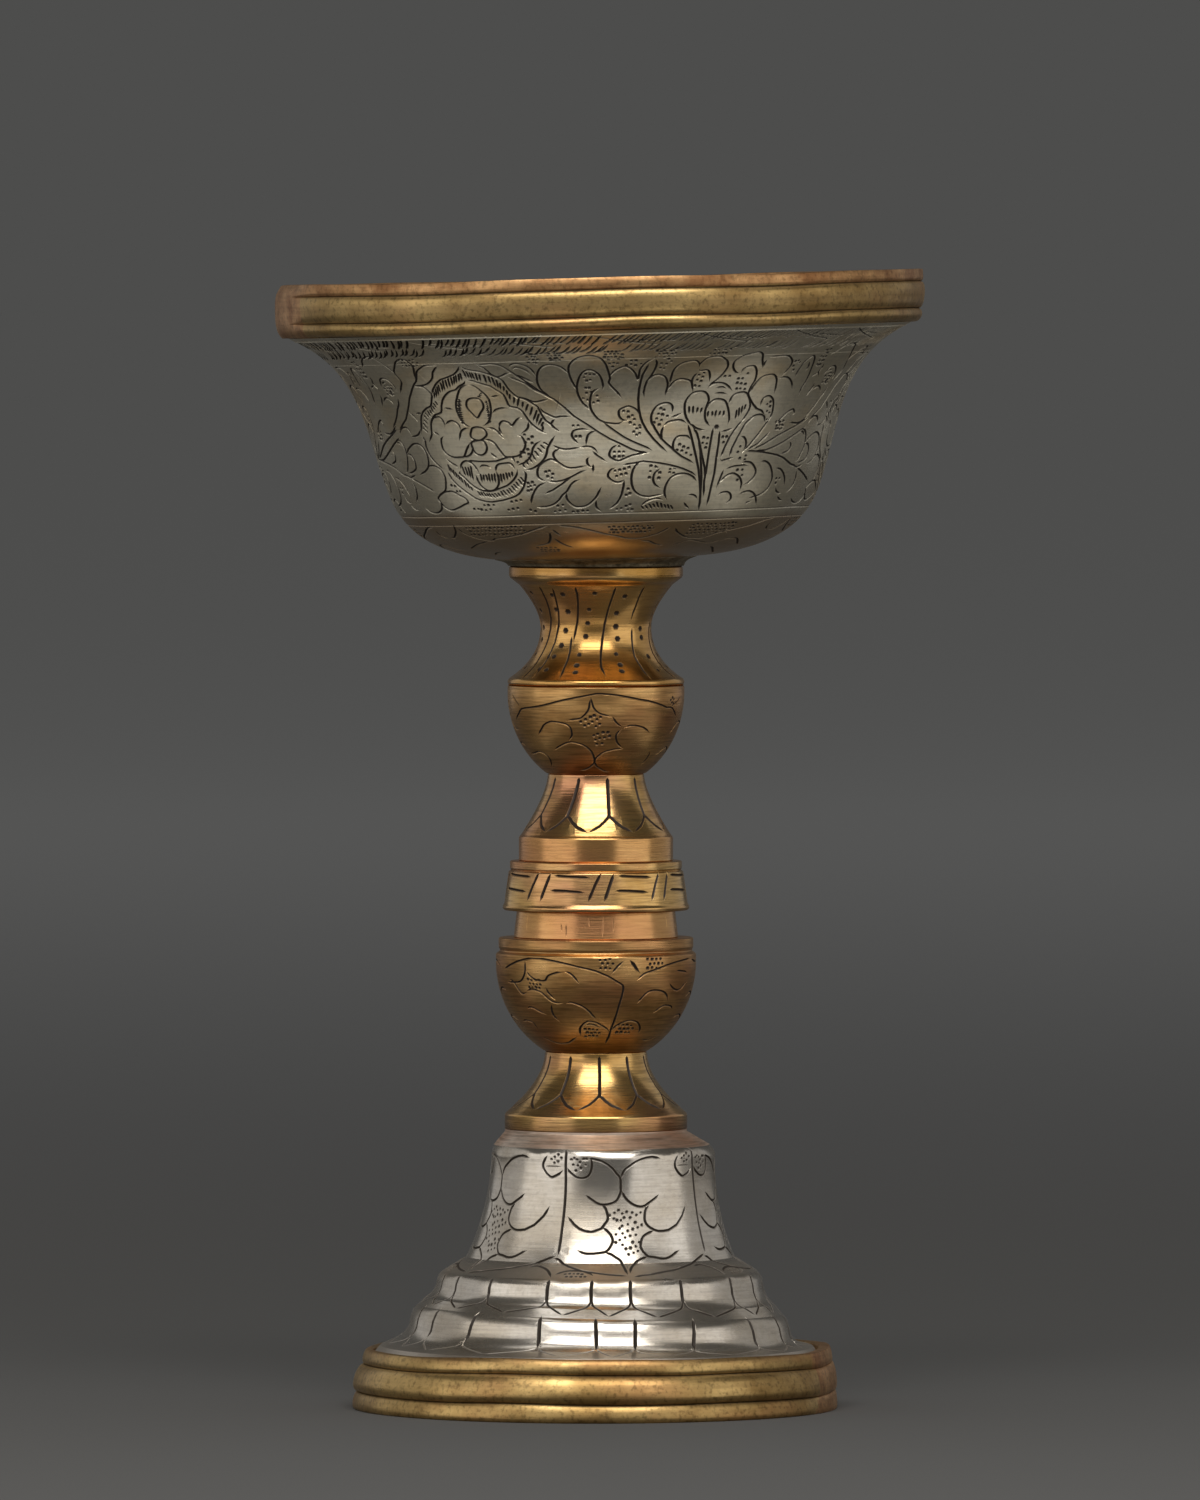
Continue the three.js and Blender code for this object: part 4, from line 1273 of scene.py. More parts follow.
# %% Spool
spool_foot = foot_of("upper_spool")
neck = carry(carry([(10.95, 0.75)], (6.85, 3.3), (6.85, 7.2), 24), (6.85, 9.35), (9.6, 12.6), 24)
spool_runs = runs_of(
    [(10.7, 0), (10.95, 0.15)], [(10.95, 0.15), (10.95, 0.75)], neck,
    carry([(9.6, 12.6)], (10.45, 12.95), (10.75, 13.5), 8), [(10.75, 13.5), (10.78, 13.72)],
    [(10.78, 13.72), (10.62, 13.84), (10.78, 13.96)], [(10.78, 13.96), (10.75, 14.8)], lift=spool_foot)
spool_skin = skin_of(soften(spool_runs, 0.22))
spool_design = new_design(spool_skin)
draw_lines(spool_design, """
-15.3 15.3, -16 14.6, -15.5 14, -16 13, -18 11, -19.5 10, -21.5 9, -23 8, -22.8 7
-25.3 8.4, -25.8 7.3, -25.4 6.3, -25.5 5, -26 4, -25.5 2.6, -25.5 1.4
15.4 15.3, 14.3 13.8, 12.5 12.3, 10.5 10.8, 9 9.8, 8 9, 6.5 8, 5.5 7, 4.5 6, 4 5, 4.2 4, 6 3, 7 2
39.8 15.3, 39.5 13.5, 39.8 12, 38.5 10.5, 37 9.8
40.5 9.4, 39.5 8, 38.5 6.8, 37.5 5.7, 38.5 4.8, 39 3.5, 39.8 1.4
-35.5 15, -37.5 13, -39 11.5, -41.5 10, -44.5 8.5, -46.5 7.2, -48.5 5.5, -49 3.5, -48.5 1.8
""", width=0.34, depth=0.12, leave=1.6)
punch(spool_design, """
-28.5 13.9, -28 11.4, -33 9, -36.5 7.1, -41.5 5.6, -42 3.5, -1 14.1, -6.5 11.7, -8.5 9.9, -10.5 8.3,
-15.5 5.9, -16 4.3, -15.5 3.1, 25 13.6, 20.5 11.2, 21 9.5, 22.5 8, 19 6, 20.5 4.4, 20 3.3, 53 9.2,
54 8.1, 55.5 5.6, 56 3.4
""", width=0.85)
for angle in range(66, 302, 26):
    foot = angle + chance.uniform(-2, 2)
    cut(spool_design, [(foot + 12, 15.3), (foot + 11, 13), (foot + 8, 10.5), (foot + 3, 8), (foot, 6),
                       (foot, 3.6), (foot + 1, 1.5)], width=0.4, depth=0.13)
    for height, lean_out in ((13.9, 22), (11.5, 20), (9.4, 17), (7.6, 14), (5.8, 12), (3.8, 11)):
        dot(spool_design, foot + lean_out + chance.uniform(-1.5, 1.5), height + chance.uniform(-0.2, 0.2),
            width=0.85)
upper_spool = chase("spool_and_collar", spool_design, repeats=1, grid=0.9)
bpy.ops.object.mode_set(mode="EDIT")
spool_top = spool_foot + 14.8
boss_depth = 2.9
extend(upper_spool, tuple(spool_skin[0]["points"][0]), [(ROD_BORE, spool_foot)])
extend(upper_spool, tuple(spool_skin[-1]["points"][-1]),
       [(6.8, spool_top), (6.8, spool_top - boss_depth), (ROD_BORE, spool_top - boss_depth),
        (ROD_BORE, spool_foot)])
finish_closing(upper_spool)
settle_normals(upper_spool, spool_skin)
dress(upper_spool, stem_brass)
stand_for(upper_spool, "stem_brass", "upper_spool")


# %% [markdown]
# ## Bowl and rim

# %% [markdown]
# The bowl and its rim are made level, in the bowl's own frame, and then lean 1.6 degrees to the left on a
# seat 1.3 mm to the right, because that is how the maker's solder left them.

# %% The bowl leans
def lean(piece):
    """Sets a piece made in the bowl's own frame on its leaning seat."""
    bpy.ops.object.select_all(action="DESELECT")
    bpy.context.view_layer.objects.active = piece
    piece.select_set(True)
    piece.rotation_euler = (0, -math.radians(BOWL_LEAN), 0)
    piece.location = Vector((SEAT_RIGHT, 0, SEAT_HEIGHT)) * MM
    bpy.ops.object.transform_apply(location=True, rotation=True, scale=True)
    return piece


def cubic(points, pull_a, pull_b, end):
    """Carries an outline on in one curve with two pulls."""
    start = np.array(points[-1])
    steps = 30
    for k in range(1, steps + 1):
        t = k / steps
        here = (1 - t) ** 3 * start + 3 * t * (1 - t) ** 2 * np.array(pull_a)
        here = here + 3 * t * t * (1 - t) * np.array(pull_b) + t ** 3 * np.array(end)
        points.append(tuple(here))
    return points


# %% [markdown]
# ## The bowl's ornament
# Three cloud-edged panels of scrolling leaves run round the bowl, chased freehand between a plain band
# under the leaves and a border of slanted leaves under the rim. The lines below were set from the
# photograph, as degrees round and millimetres up the wall, and hold one panel and its neighbours' halves.

# %% Bowl wall
bowl_wall = cubic([(8.9, 0.0)], (18.5, 0.0), (24.3, 2.45), (26.5, 8.15))
cubic(bowl_wall, (26.5 + 2.2 * 8.1 / 5.7, 16.25), (29.2, 24.1), (38.62, 28.24))
bowl_skin = skin_of([bowl_wall, [(38.62, 28.24), (38.4, 28.6), (38.4, 33.8)]])
bowl_design = new_design(bowl_skin)
print("bowl wall", round(length_of(bowl_skin), 1), "mm along")

# %% [markdown]
# Medallion: a pair of scrolling bands holds a round flower of three petals. Short hatches shade the bands,
# because a chaser darkens a turned edge with strokes where a painter would shade it.

# %% Medallion
draw_lines(bowl_design, """
-53 34.5, -51.8 35.3, -50.8 35.9, -50.6 36.4, -51.1 37.2, -51 37.7, -49.8 38.4, -48.4 39.2, -47 39.6,
  -45.7 39.8, -44.7 39.5, -44.1 38.9, -44.1 38.2, -44.8 37.4, -45.3 36.6, -45.7 36.1
-47.4 35.4, -46 35.5, -44.3 35.3, -43.3 34.8, -42.6 34.2, -43.1 33.6, -44.1 32.7, -45.7 32.4,
  -47.4 31.9, -48.4 31.4, -49.1 30.6, -49.6 29.9, -50.4 29
-50.4 29, -49.4 28.2, -49.6 27.4, -49.1 26.5, -48.1 25.7, -46.4 24.9, -44.7 24.4
-42.6 34.2, -41.6 34.9, -40.2 35.6, -38.2 36.3, -36.2 36.6, -34.1 37, -32.4 37.7, -31.4 38.5
-31.6 36.2, -32.4 35.6, -33.8 35.3, -35.1 34.8, -36.8 34.6, -38.5 34.1, -39.9 33.4, -40.7 32.7,
  -41.4 31.8, -43.6 31.5, -44.8 31, -45.7 30.4, -46.2 29.5, -46.4 29, -47.4 28.4, -48.2 27.9
-31.3 38.5, -30.6 37.9, -29 37.6, -27.2 37.4, -25.5 37, -23.7 36.5, -22.4 35.9, -21.7 34.9, -20.9 34.2,
  -19.7 33.6, -18 33.3, -16.5 32.7, -15.2 32.2, -14.6 31.3, -13.6 30.4, -12.2 29.8, -10.9 29.2
-31.5 36.2, -29.6 36, -27.9 35.6, -25.8 35.2, -24.5 34.6, -23.1 34, -22.6 33.2, -22.1 32.4, -20.4 32.2,
  -19 31.6, -18 30.6, -17 29.9, -15.6 29.3, -13.6 28.7
-31.4 35.5, -32.8 35.3, -34.1 34.8, -35 34.1, -36 33.2, -36.5 32.3, -36.4 31.4, -35.8 30.6, -34.5 30,
  -33.1 29.9
-31.4 35.5, -30.3 35.4, -28.9 34.8, -27.9 34.2, -27 33.4, -27 32.3, -27.5 31.2, -28.6 30.3, -30.3 29.9
-40.4 32.4, -37.3 32.2
-27 31.5, -25.8 32, -24 32.2, -22.3 32.2
-26.5 33.7, -24.1 33.9
-44.8 30.9, -43.6 31.2, -42.4 31.2, -41.6 30.8, -41.3 30.1, -41.6 29.8
-41.3 30.2, -40.2 30.5, -38.9 30.7, -37.7 30.5, -36.8 30, -36.8 29.3
-25.8 29.5, -25.5 30.1, -24.5 30.5, -23.1 30.3, -22.3 29.9, -21.1 30.5, -20.1 30.9, -19.2 30.8
-18 30.5, -18.2 29.7, -19 29.2, -20.4 28.8
-25.7 30, -25.7 29.3, -25 28.7
-22.4 24.8, -20.4 25.1, -19 25.6, -18.2 26.2, -17.7 26.9, -16.7 27.5, -15.1 28
-20.4 24.2, -18.7 24.3, -16.7 24.8, -15.1 25.5, -14.3 26.2, -13.9 26.9, -12.9 27.7, -11.6 28.6
-12.9 30, -11.6 29.4, -10.2 28.9
-14.6 30, -14.6 29
-42.4 28.8, -43.5 28.4, -43.8 27.6, -43.5 26.9, -42.3 26.3, -40.6 26, -38.5 26, -37.3 26.1, -36.2 26.9,
  -35.1 27.6, -34.5 28
-37.9 28.1, -37.3 28.7, -36.7 29.3, -35.1 29.7, -33.8 29.7
-45.8 29.4, -43.5 28.8
-38.2 26, -36.2 26.1, -34.8 26.5, -34.1 27.2, -34.3 27.9
-36.8 25.6, -33.1 25.4, -28 25.4, -25.8 25.7, -24.1 25.9, -23.1 25.6, -22.8 24.9
-29.2 29.7, -27.5 29.6, -26.2 29.1, -25.2 28.4, -24.8 28.2
-30.6 28.2, -28.9 28.1, -27.5 27.6, -26.7 26.9, -25.8 26.2, -25 25.9, -23.1 25.9, -21.4 26.1,
  -20.2 26.7, -19.5 27.4, -19.9 28.2, -20.6 28.6, -21.4 28.6
-29.4 26.6, -28.4 26.1, -27.2 25.7
""")
draw_lines(bowl_design, """
-31.2 31, -32.4 31.6, -33.3 32.3, -33.3 32.9, -32.6 33.4, -31.2 33.6, -29.7 33.5, -28.9 33, -28.9 32.3,
  -29.9 31.7
-33.6 29.4, -34.1 28.8, -33.6 28.3, -31.7 28.1, -30 28.5, -29.4 29, -30.2 29.6, -31.7 29.8, -33.1 29.7
-34.1 27.9, -34.3 27.3, -33.6 26.5, -32.1 26.2, -30.7 26.5, -30 27.2, -30.5 27.9, -31.6 28.1
""", closed=True)
for feet, heads, count in (
        ("-36.3 30.4, -36.6 32, -35.6 33.4", "-34.9 30.4, -34.9 32, -34.3 33.4", 13),
        ("-28.6 30.3, -28.3 33.2", "-27.5 30.5, -27.2 33.1", 12),
        ("-29.9 33.8, -28.6 34.6", "-28.7 33.7, -27.9 34.2", 4),
        ("-32 37.4, -35 36.8, -38.5 36.1, -41.5 34.8", "-32.6 36, -35.6 35.3, -39 34.5, -42.2 33.6", 13),
        ("-42.4 33.5, -44.3 32.5, -47.4 31.8, -49.2 30", "-41.6 32.5, -44 31.6, -46 30.8, -47.4 29", 11),
        ("-31.2 37.8, -29.6 37.4, -28 37.2, -25.5 36.8",
         "-31.2 36.4, -29.6 36.1, -28 35.8, -25.5 35.4", 8),
        ("-24.8 36.6, -22.6 35.4, -21 33.9, -18 33, -15.3 31.8, -14 30.4",
         "-24.4 35, -23 34.4, -21.4 32.7, -18.8 31.9, -16.6 30.3, -15.2 29.5", 15),
):
    between(bowl_design, feet, heads, count)

# %% [markdown]
# Under the flower the bands close to a cup, hatched along its wall.

# %% Cup of the medallion
draw_lines(bowl_design, """
-44 24.3, -43.1 23.3, -41.3 22.3, -39.2 21.5, -36.8 20.7, -34.5 20.3, -31.7 20.1, -28.2 20.3,
  -25.5 20.6, -23.1 21.1, -21.4 22.1, -20.6 23.1, -20.4 23.8, -21.4 24.3
-43.6 25.9, -41.6 25.2, -40.2 24.9, -39.9 24.4
-39.4 24.4, -38.9 25, -37.9 25.4, -36.7 25.5, -35.1 25.1, -34.1 24.4, -33.6 23.8
-39.4 24.4, -39.9 23.9, -38.5 23.3, -37.2 22.6, -34.8 21.8, -31.6 21.5, -28.9 21.8, -26.2 22.2,
  -24.1 22.9, -22.8 23.7, -22.4 24.4
-34.8 23.8, -34.6 23, -33.6 22.1, -31.7 21.6, -29.7 21.8, -28.5 22.5, -28.3 23.5, -28.5 24.3
-33.4 24.6, -32.4 24.9, -30.7 24.8, -29.7 24.5
-28.7 23.9, -28.4 24.6, -27.5 25, -25.8 25.1, -24.3 25.1, -23.5 24.7, -22.9 24.1
-27.9 23.9, -28.2 22.9, -28.6 22.3, -29.6 21.8
""")
for feet, heads, count in (
        ("-38.6 24.9, -35.9 24.9", "-38.2 23.5, -35.9 23", 4),
        ("-33.4 23.9, -29.2 23.9", "-33.4 22.7, -29.2 22.6", 6),
        ("-27.4 23.9, -24.1 24.2", "-27.4 22.5, -24.1 23.2", 5),
        ("-43.2 25.2, -40.6 23.9, -37.3 22.4", "-43 24, -40.4 22.8, -37.1 21.4", 9),
        ("-35.4 21.7, -31 21.3, -26 21.9, -22 23.4", "-34.6 20.8, -30 20.5, -24.9 21, -21 22.4", 17),
        ("-20.9 25.1, -17.8 26.6, -15 27.8", "-20.3 24.4, -16.6 25.4, -13.4 27.2", 8),
):
    between(bowl_design, feet, heads, count)

# %% [markdown]
# The leaves on each side are drawn stem first, then the lobes that curl off it.

# %% Leaves left of the medallion
draw_lines(bowl_design, """
-62 38.5, -60.6 39.1, -59.9 39.5, -58.6 40, -56.9 40.3, -54.7 40.4, -53.7 39.7, -52.5 38.8, -51.5 37.9,
  -51.1 37.2
-59.5 35.4, -58.9 36, -58.3 36.5, -56.9 36.7, -55.5 36.5, -54.7 36.1, -54 35.4, -54.1 34.7
-58.4 35.8, -57.6 36.1, -56.4 36.1
-62 33.3, -61 33.7, -59.8 33.9, -58.4 33.6, -57.7 33
-62 29.9, -60 30.6, -58.3 31.4, -56.9 32.3, -55.5 33, -54.7 34
-59.3 29.5, -56.6 30.4, -54.7 31, -53.2 31.9, -51.8 32.8, -50.4 33.8, -48.4 34.9, -47 35.6, -45.7 36.1,
  -45 36.6, -44 37.5, -42.3 38.1, -40.2 38.6, -38.2 38.6, -37 38.5
-37 38.5, -38.2 38, -39.4 37.4, -40.2 36.6, -41.6 36, -43.3 35.6, -45.3 35.5, -47 35.6
-59.3 29, -58.6 29.6, -57.2 29.9, -55.5 29.9, -54.5 29.4, -54.5 28.8
-54.7 28.7, -52.8 28.8, -51.5 29, -50.3 29.5, -49.9 30
-52.6 32, -50.8 31.2, -50.3 30.6
-50.1 31.7, -47.9 31.8
-62 28.3, -61 28.3, -60 28.1, -59.1 27.5, -58.8 26.5, -59.3 25.6, -60 24.9, -61 24.3, -62 24.2
-58.9 26.5, -57.9 26.5, -56.7 26.3, -55.9 25.6, -56.2 24.7, -57.6 24.3, -59.3 24.1, -61 24
-58.8 26.5, -57.6 27.1, -56 27.5, -54.5 27.8, -52.6 27.8, -51.1 27.4, -50.1 26.5, -50.1 25.6,
  -50.9 24.8, -52.8 24.2, -55.5 23.8
-51.1 24.8, -49.4 25, -47.4 24.8, -46 24.3, -45.3 23.4, -45.8 22.5, -46.5 21.8, -48.1 21.4, -50.4 21.1
-50.3 20.8, -49.9 20, -50.8 19.2, -52.5 18.8, -54.5 18.7, -56.9 19, -58.3 19.5
-60 23.4, -57.6 23, -54.5 22.4, -51.8 21.8, -50.6 21.5
-60 23.1, -59.3 22.1, -60 21, -62 20.2
-62 23.7, -60 23.5, -56.9 23.9
""")
draw_lines(bowl_design, """
-50.3 20.8, -49.9 20.2, -48.9 19.5, -47 19.1, -45 19.2, -43 19.5, -41.3 19.8, -39.6 20.1, -40.2 20.7,
  -41.9 21.1, -44 21.6, -45.7 21.6, -47.4 21.5
""", closed=True)

# %% Leaves right of the medallion
draw_lines(bowl_design, """
-27.5 38.6, -26.2 38.5, -24.1 38.6, -22.4 38.4, -21.1 37.9, -19.5 37, -18.7 36.5, -16.6 35.5, -13.6 34,
  -11.2 33.2, -8.8 32, -6.8 30.9, -3.8 29.8, -0.9 28.7, 1.5 27.9, 3.9 27.3, 6.9 26.5, 9.3 26.1, 11.7 26
-27.5 38.6, -25.8 37.9, -24.8 37, -23.5 36.5, -22.1 36.7, -21.1 37, -19.7 37.1
-21.1 36.6, -19.4 36.1, -17.3 35.5, -15.6 34.6, -13.9 34.1, -11.9 33.4
-19.7 37.8, -19.7 38.2, -18.7 38.5, -17.3 38.4, -16 38, -15 37.3, -14.4 36.4
-19.4 37.5, -18.7 37.9, -17.7 37.8, -16.3 37.3, -15.5 36.6
-19.4 36.9, -17.7 36.4, -15 35.4
-11.9 33.6, -13.6 34.3, -14.3 35.1, -14.4 36, -13.9 37, -12.9 37.8, -11.4 38.2, -9.9 38.1, -8.5 37.7,
  -7.5 37, -7.1 36.6
-5.6 34.3, -6.6 35.6, -7.1 36.9, -6.8 38, -5.4 39, -4.1 39.4, -2.6 39.6, -1.2 39.4, 0.1 38.9, 1.1 37.8,
  1.6 36.7, 1.9 35.8, 1.6 35.3, 2.2 34.7, 3.5 33.9, 4.7 33
-2.9 31.7, -4.4 32.5, -5.4 33.6, -5.6 34.7, -5.1 35.8, -4.4 36.6, -3.4 37.1, -2.5 37.2, -1.6 37,
  -0.6 36.5, 0.1 35.6, 0.3 34.7, 0.1 34.1
-0.4 34.6, -1.7 34.2, -2.4 33.7, -2.8 32.8, -2.8 32.1, -2.4 31.4, -1.2 30.5, 0 30.1, 1.3 29.9,
  3.9 29.8, 5.2 30.3
-20 33.6, -19 33.6, -17.7 33.3, -16 32.9, -14.3 33, -11.9 33.3
-14.6 32.3, -14.3 31.7, -12.9 31.2, -11.2 30.8, -10.2 30.9, -7.1 30.9
-12.6 29.8, -11.9 30.4, -11.2 30.6
1.8 36, 2.2 36.5, 3.2 37.1, 4.5 37.5, 5.2 37.6, 6.4 37.2, 7.4 36.5, 8.1 35.6, 8.3 36.2, 8.4 36.9,
  9.1 37.7, 10.2 38.4, 11.5 38.8
11.5 38.8, 12 38, 11.7 36.9, 11 36, 10.2 35.3, 9.8 34.5, 9.6 33.8, 9.8 33
10.3 38, 9.8 37.1, 9.1 36.2, 8.8 35.3, 8.5 34.2, 8.4 32.9, 8.6 31.6, 9.1 30.5, 9.6 29.8, 10.7 28.8,
  12.4 27.7, 14.4 26.7, 16.1 26
8.8 30.8, 8.4 31.3, 7.6 31.7, 6.2 32, 4.9 31.8, 4 31.5, 3.9 30.9, 4.4 30.4, 5.2 30.2, 6.6 30.2
10.2 35.3, 11 35.8, 11.7 36.1, 12.9 36.2, 14.1 35.9, 14.8 35.3, 15.1 34.5, 14.8 33.6, 14.7 33
15.5 34.7, 15.8 36.4, 16.4 37.2, 17.5 37.8, 18.8 38.1, 20.4 38.2, 21.4 37.8, 21.9 37.1
15.2 34, 15.6 34.5, 16.6 35.2, 18.1 35.5, 19.8 35.3, 20.7 34.9, 21.2 34, 21.4 33.5
21.9 37, 21.7 37.5, 22.2 38, 23.2 38.6, 24.8 38.8, 26.3 38.7, 27.3 38.3, 28.1 37.9, 28.6 37.1, 28 36.1,
  26.9 35.3, 25.6 34.7, 24.7 34
21.9 37, 22.2 36.6, 23.6 36.7, 24.4 36.4, 24.9 35.6, 25 34.9
21.9 36.5, 21.2 36, 20.7 35.3, 20.9 34.5, 21.5 33.9
12 29.2, 11.7 30.1, 11.7 30.8, 12.4 31.6, 13.5 32.1, 15.1 32.3, 16.3 32.1, 16.8 31.6, 16.7 30.8
16.3 30.4, 17.8 30.6, 19.3 31
14.6 29.2, 15.8 29.8, 17.5 30, 19.2 30, 20.9 29.5
""")
draw_lines(bowl_design, """
-9.3 34.3, -11.2 31.2
""", width=0.2, depth=0.05)

# %% [markdown]
# Lower leaves: smaller lobes that fill the ground down to the plain band.

# %% Lower leaves
draw_lines(bowl_design, """
-5.8 27.3, -7.1 27.9, -7.6 28.5, -7.1 29, -5.8 29.2, -4.1 29.2, -3.1 29
-1.4 29, -2.7 28.8, -3.7 28.4, -4.1 27.7, -4.3 27
-6 26.9, -4.3 27, -2.9 26.9, -1.9 26.5, -1.2 26
-2.9 26.5, -1.6 25.8, -0.2 25.3, 1 24.9
-12.9 27.4, -11.6 27, -9.5 26.7, -7.1 26.8, -5.4 27
-10.5 26.9, -12.1 26.5, -12.6 26, -11.9 25.3, -10.2 24.6, -8.5 24.3, -6.1 24.4, -4.1 24.6
-3.2 25.7, -4.1 25.4, -4.1 24.8, -3.4 24.4, -2.6 24.3
-2.7 24.8, -2.8 23.6
-15 22.7, -16.3 22.9, -17.2 23.4, -17 24.3, -16 24.9, -14.6 25.3, -13.3 25.5, -11.9 25.2, -10.5 24.7
-15 22.7, -12.6 22.6, -10.2 22.8, -8.2 23.2, -5.8 23.8, -4.1 24.1
-20.2 19.6, -19.9 20.3, -18.7 21.4, -17 22.2, -15 22.6
-18.9 19.3, -16.3 19.3, -13.9 19.6, -12.2 20.2, -11.2 20.8, -9.9 21.3, -8.8 22.1, -7.5 22.6, -5.9 22.9
-16.1 21, -13.6 21.5, -10.9 22.3, -8.2 23.2
-10 21.3, -10.2 20.5, -9.5 19.8, -7.8 19.2, -5.1 19.3, -3.3 19.9, -1.9 20.7, -0.7 21.9
-2.3 20.2, -2.4 19.2, -1.7 18.7, -0.7 18.3
1.1 18.7, 3.2 19.5, 4.5 20.7, 5 21.8, 5.2 22.8
0.1 30, 2.5 29, 5.2 28, 8.3 27.2, 11 26.6, 12.4 26.2
3.7 27.2, 2.2 26.7, 1.5 26.1, 1.6 25.6, 2.7 25.2, 4.2 25.1, 7.1 25.7, 11 26
4.5 24.5, 7.6 24.7, 10 24.9, 13 24.7, 17.1 24.3, 20.5 23.8, 22.9 23.3, 24.6 22.8
11.7 30, 12.7 29, 14.4 27.7, 17.1 26.5, 19.8 25.4, 22.2 24.8, 23.6 24.4
14.9 29.5, 14.4 28.7, 14.4 28, 15.1 27.3
22.1 27.4, 21.2 27.9, 19.8 28, 18.5 27.9, 17.6 27.3, 17.5 26.5, 18.1 26, 19.2 25.6
20.9 29.5, 21.9 28.2, 22.9 26.7, 23.9 25.2, 24.8 23.8, 25.6 22.1, 26.3 20.5, 27 18.5
22.2 29.2, 23.6 28.2, 24.6 26.9, 25.6 25.2, 26.6 23.8, 27.2 22
5.2 22.8, 4.9 22.5, 3.5 22.3, 2.2 22.5, 1.1 23, 1.1 23.5, 2 24, 3.5 24.2
9.3 24.9, 7.9 24.3, 7.1 23.3, 7.1 22.1, 7.9 21.1, 9.6 20.5, 12 20.3, 14.4 20.5, 15.9 20.6
14.7 24, 13.2 23.4, 12.7 22.6, 13.4 21.8, 15.2 21.3
24.8 22.1, 23.6 22.7, 21.9 23.1, 20.2 23.2, 18.5 23, 17.1 22.5, 16.1 21.5, 16.1 20.5, 17 19.7
25.8 19.7, 24.9 20.2, 23.6 20.4, 22.2 20.3
21.7 19.5, 22.6 18.9, 23.9 18.4
9.6 19, 11 19.6, 13 20, 14.7 20, 16.1 19.7
""")
between(bowl_design, "9.8 19.2, 14 19.6, 18 19.1", "10.8 18.4, 15 18.6, 19 18.3", 9)

# %% [markdown]
# Bud: three round petals on straight stems that stand up from the plain band.

# %% Bud and its stems
draw_lines(bowl_design, """
21.9 29.2, 20.9 29.9, 20 30.8, 19.7 32.1, 20.3 32.9, 21.4 33.5, 22.9 33.7, 24.3 33.6, 25.3 33.1,
  25.7 32.4, 25.4 31.9, 25.1 31, 25.6 29.9
26.9 29.1, 25.6 29.8, 25.1 30.8, 25.4 31.6, 26.7 32.4, 28.1 32.6, 29.8 32.4, 30.8 31.8, 31.6 30.8,
  32 29.8, 31.7 29.1
31 31.8, 31.6 32.7, 32.5 33.2, 34.1 33.4, 35.5 33.3, 36.6 32.7, 37.4 31.8, 37.3 31, 36.4 30.1, 35.3 29.3
24.7 34, 25.4 34.5, 26.9 34.8, 28.7 34.7, 30.1 34.3, 31.6 33.6
26.7 34.1, 28.7 34.2, 29.9 33.9
26.7 33.4, 28.7 33.4, 30.5 33.2
21.2 29.7, 22.9 29, 24.6 28.7, 26 28.7
30 28.4, 31.7 28.5, 33.7 28.8
27.8 29, 27.4 26.5, 27.2 24.8, 27.1 23.1, 26.9 22.2, 27.4 20
29.7 28.6, 29.8 26.9, 29.6 25, 29.6 23.1, 29.2 21.3, 28.9 18.7
24 27.6, 24.9 26, 25.4 24.4, 26 22.5, 26.3 20.3, 26.9 18
32.3 23.6, 31.6 22.4, 30.8 21
30.8 25, 31.6 26.2, 32.8 27.6, 34.8 29.1, 36.4 30
33.4 25, 33.9 26.2, 35.2 27.6, 36.6 29, 37.9 30
30.8 25, 31.2 24.7, 32.6 24.8, 35.2 25.1
""")
for feet, heads, count in (
        ("20.9 31.9, 24.1 31.7", "20.9 30.7, 24.1 30.7", 4),
        ("26 31.2, 30.1 31.2", "26 30.2, 30.1 30.2", 5),
        ("33.7 31.2, 36 31.9", "33.7 29.8, 36 30.9", 4),
):
    between(bowl_design, feet, heads, count)
punch(bowl_design, "28.7 29", width=0.75)

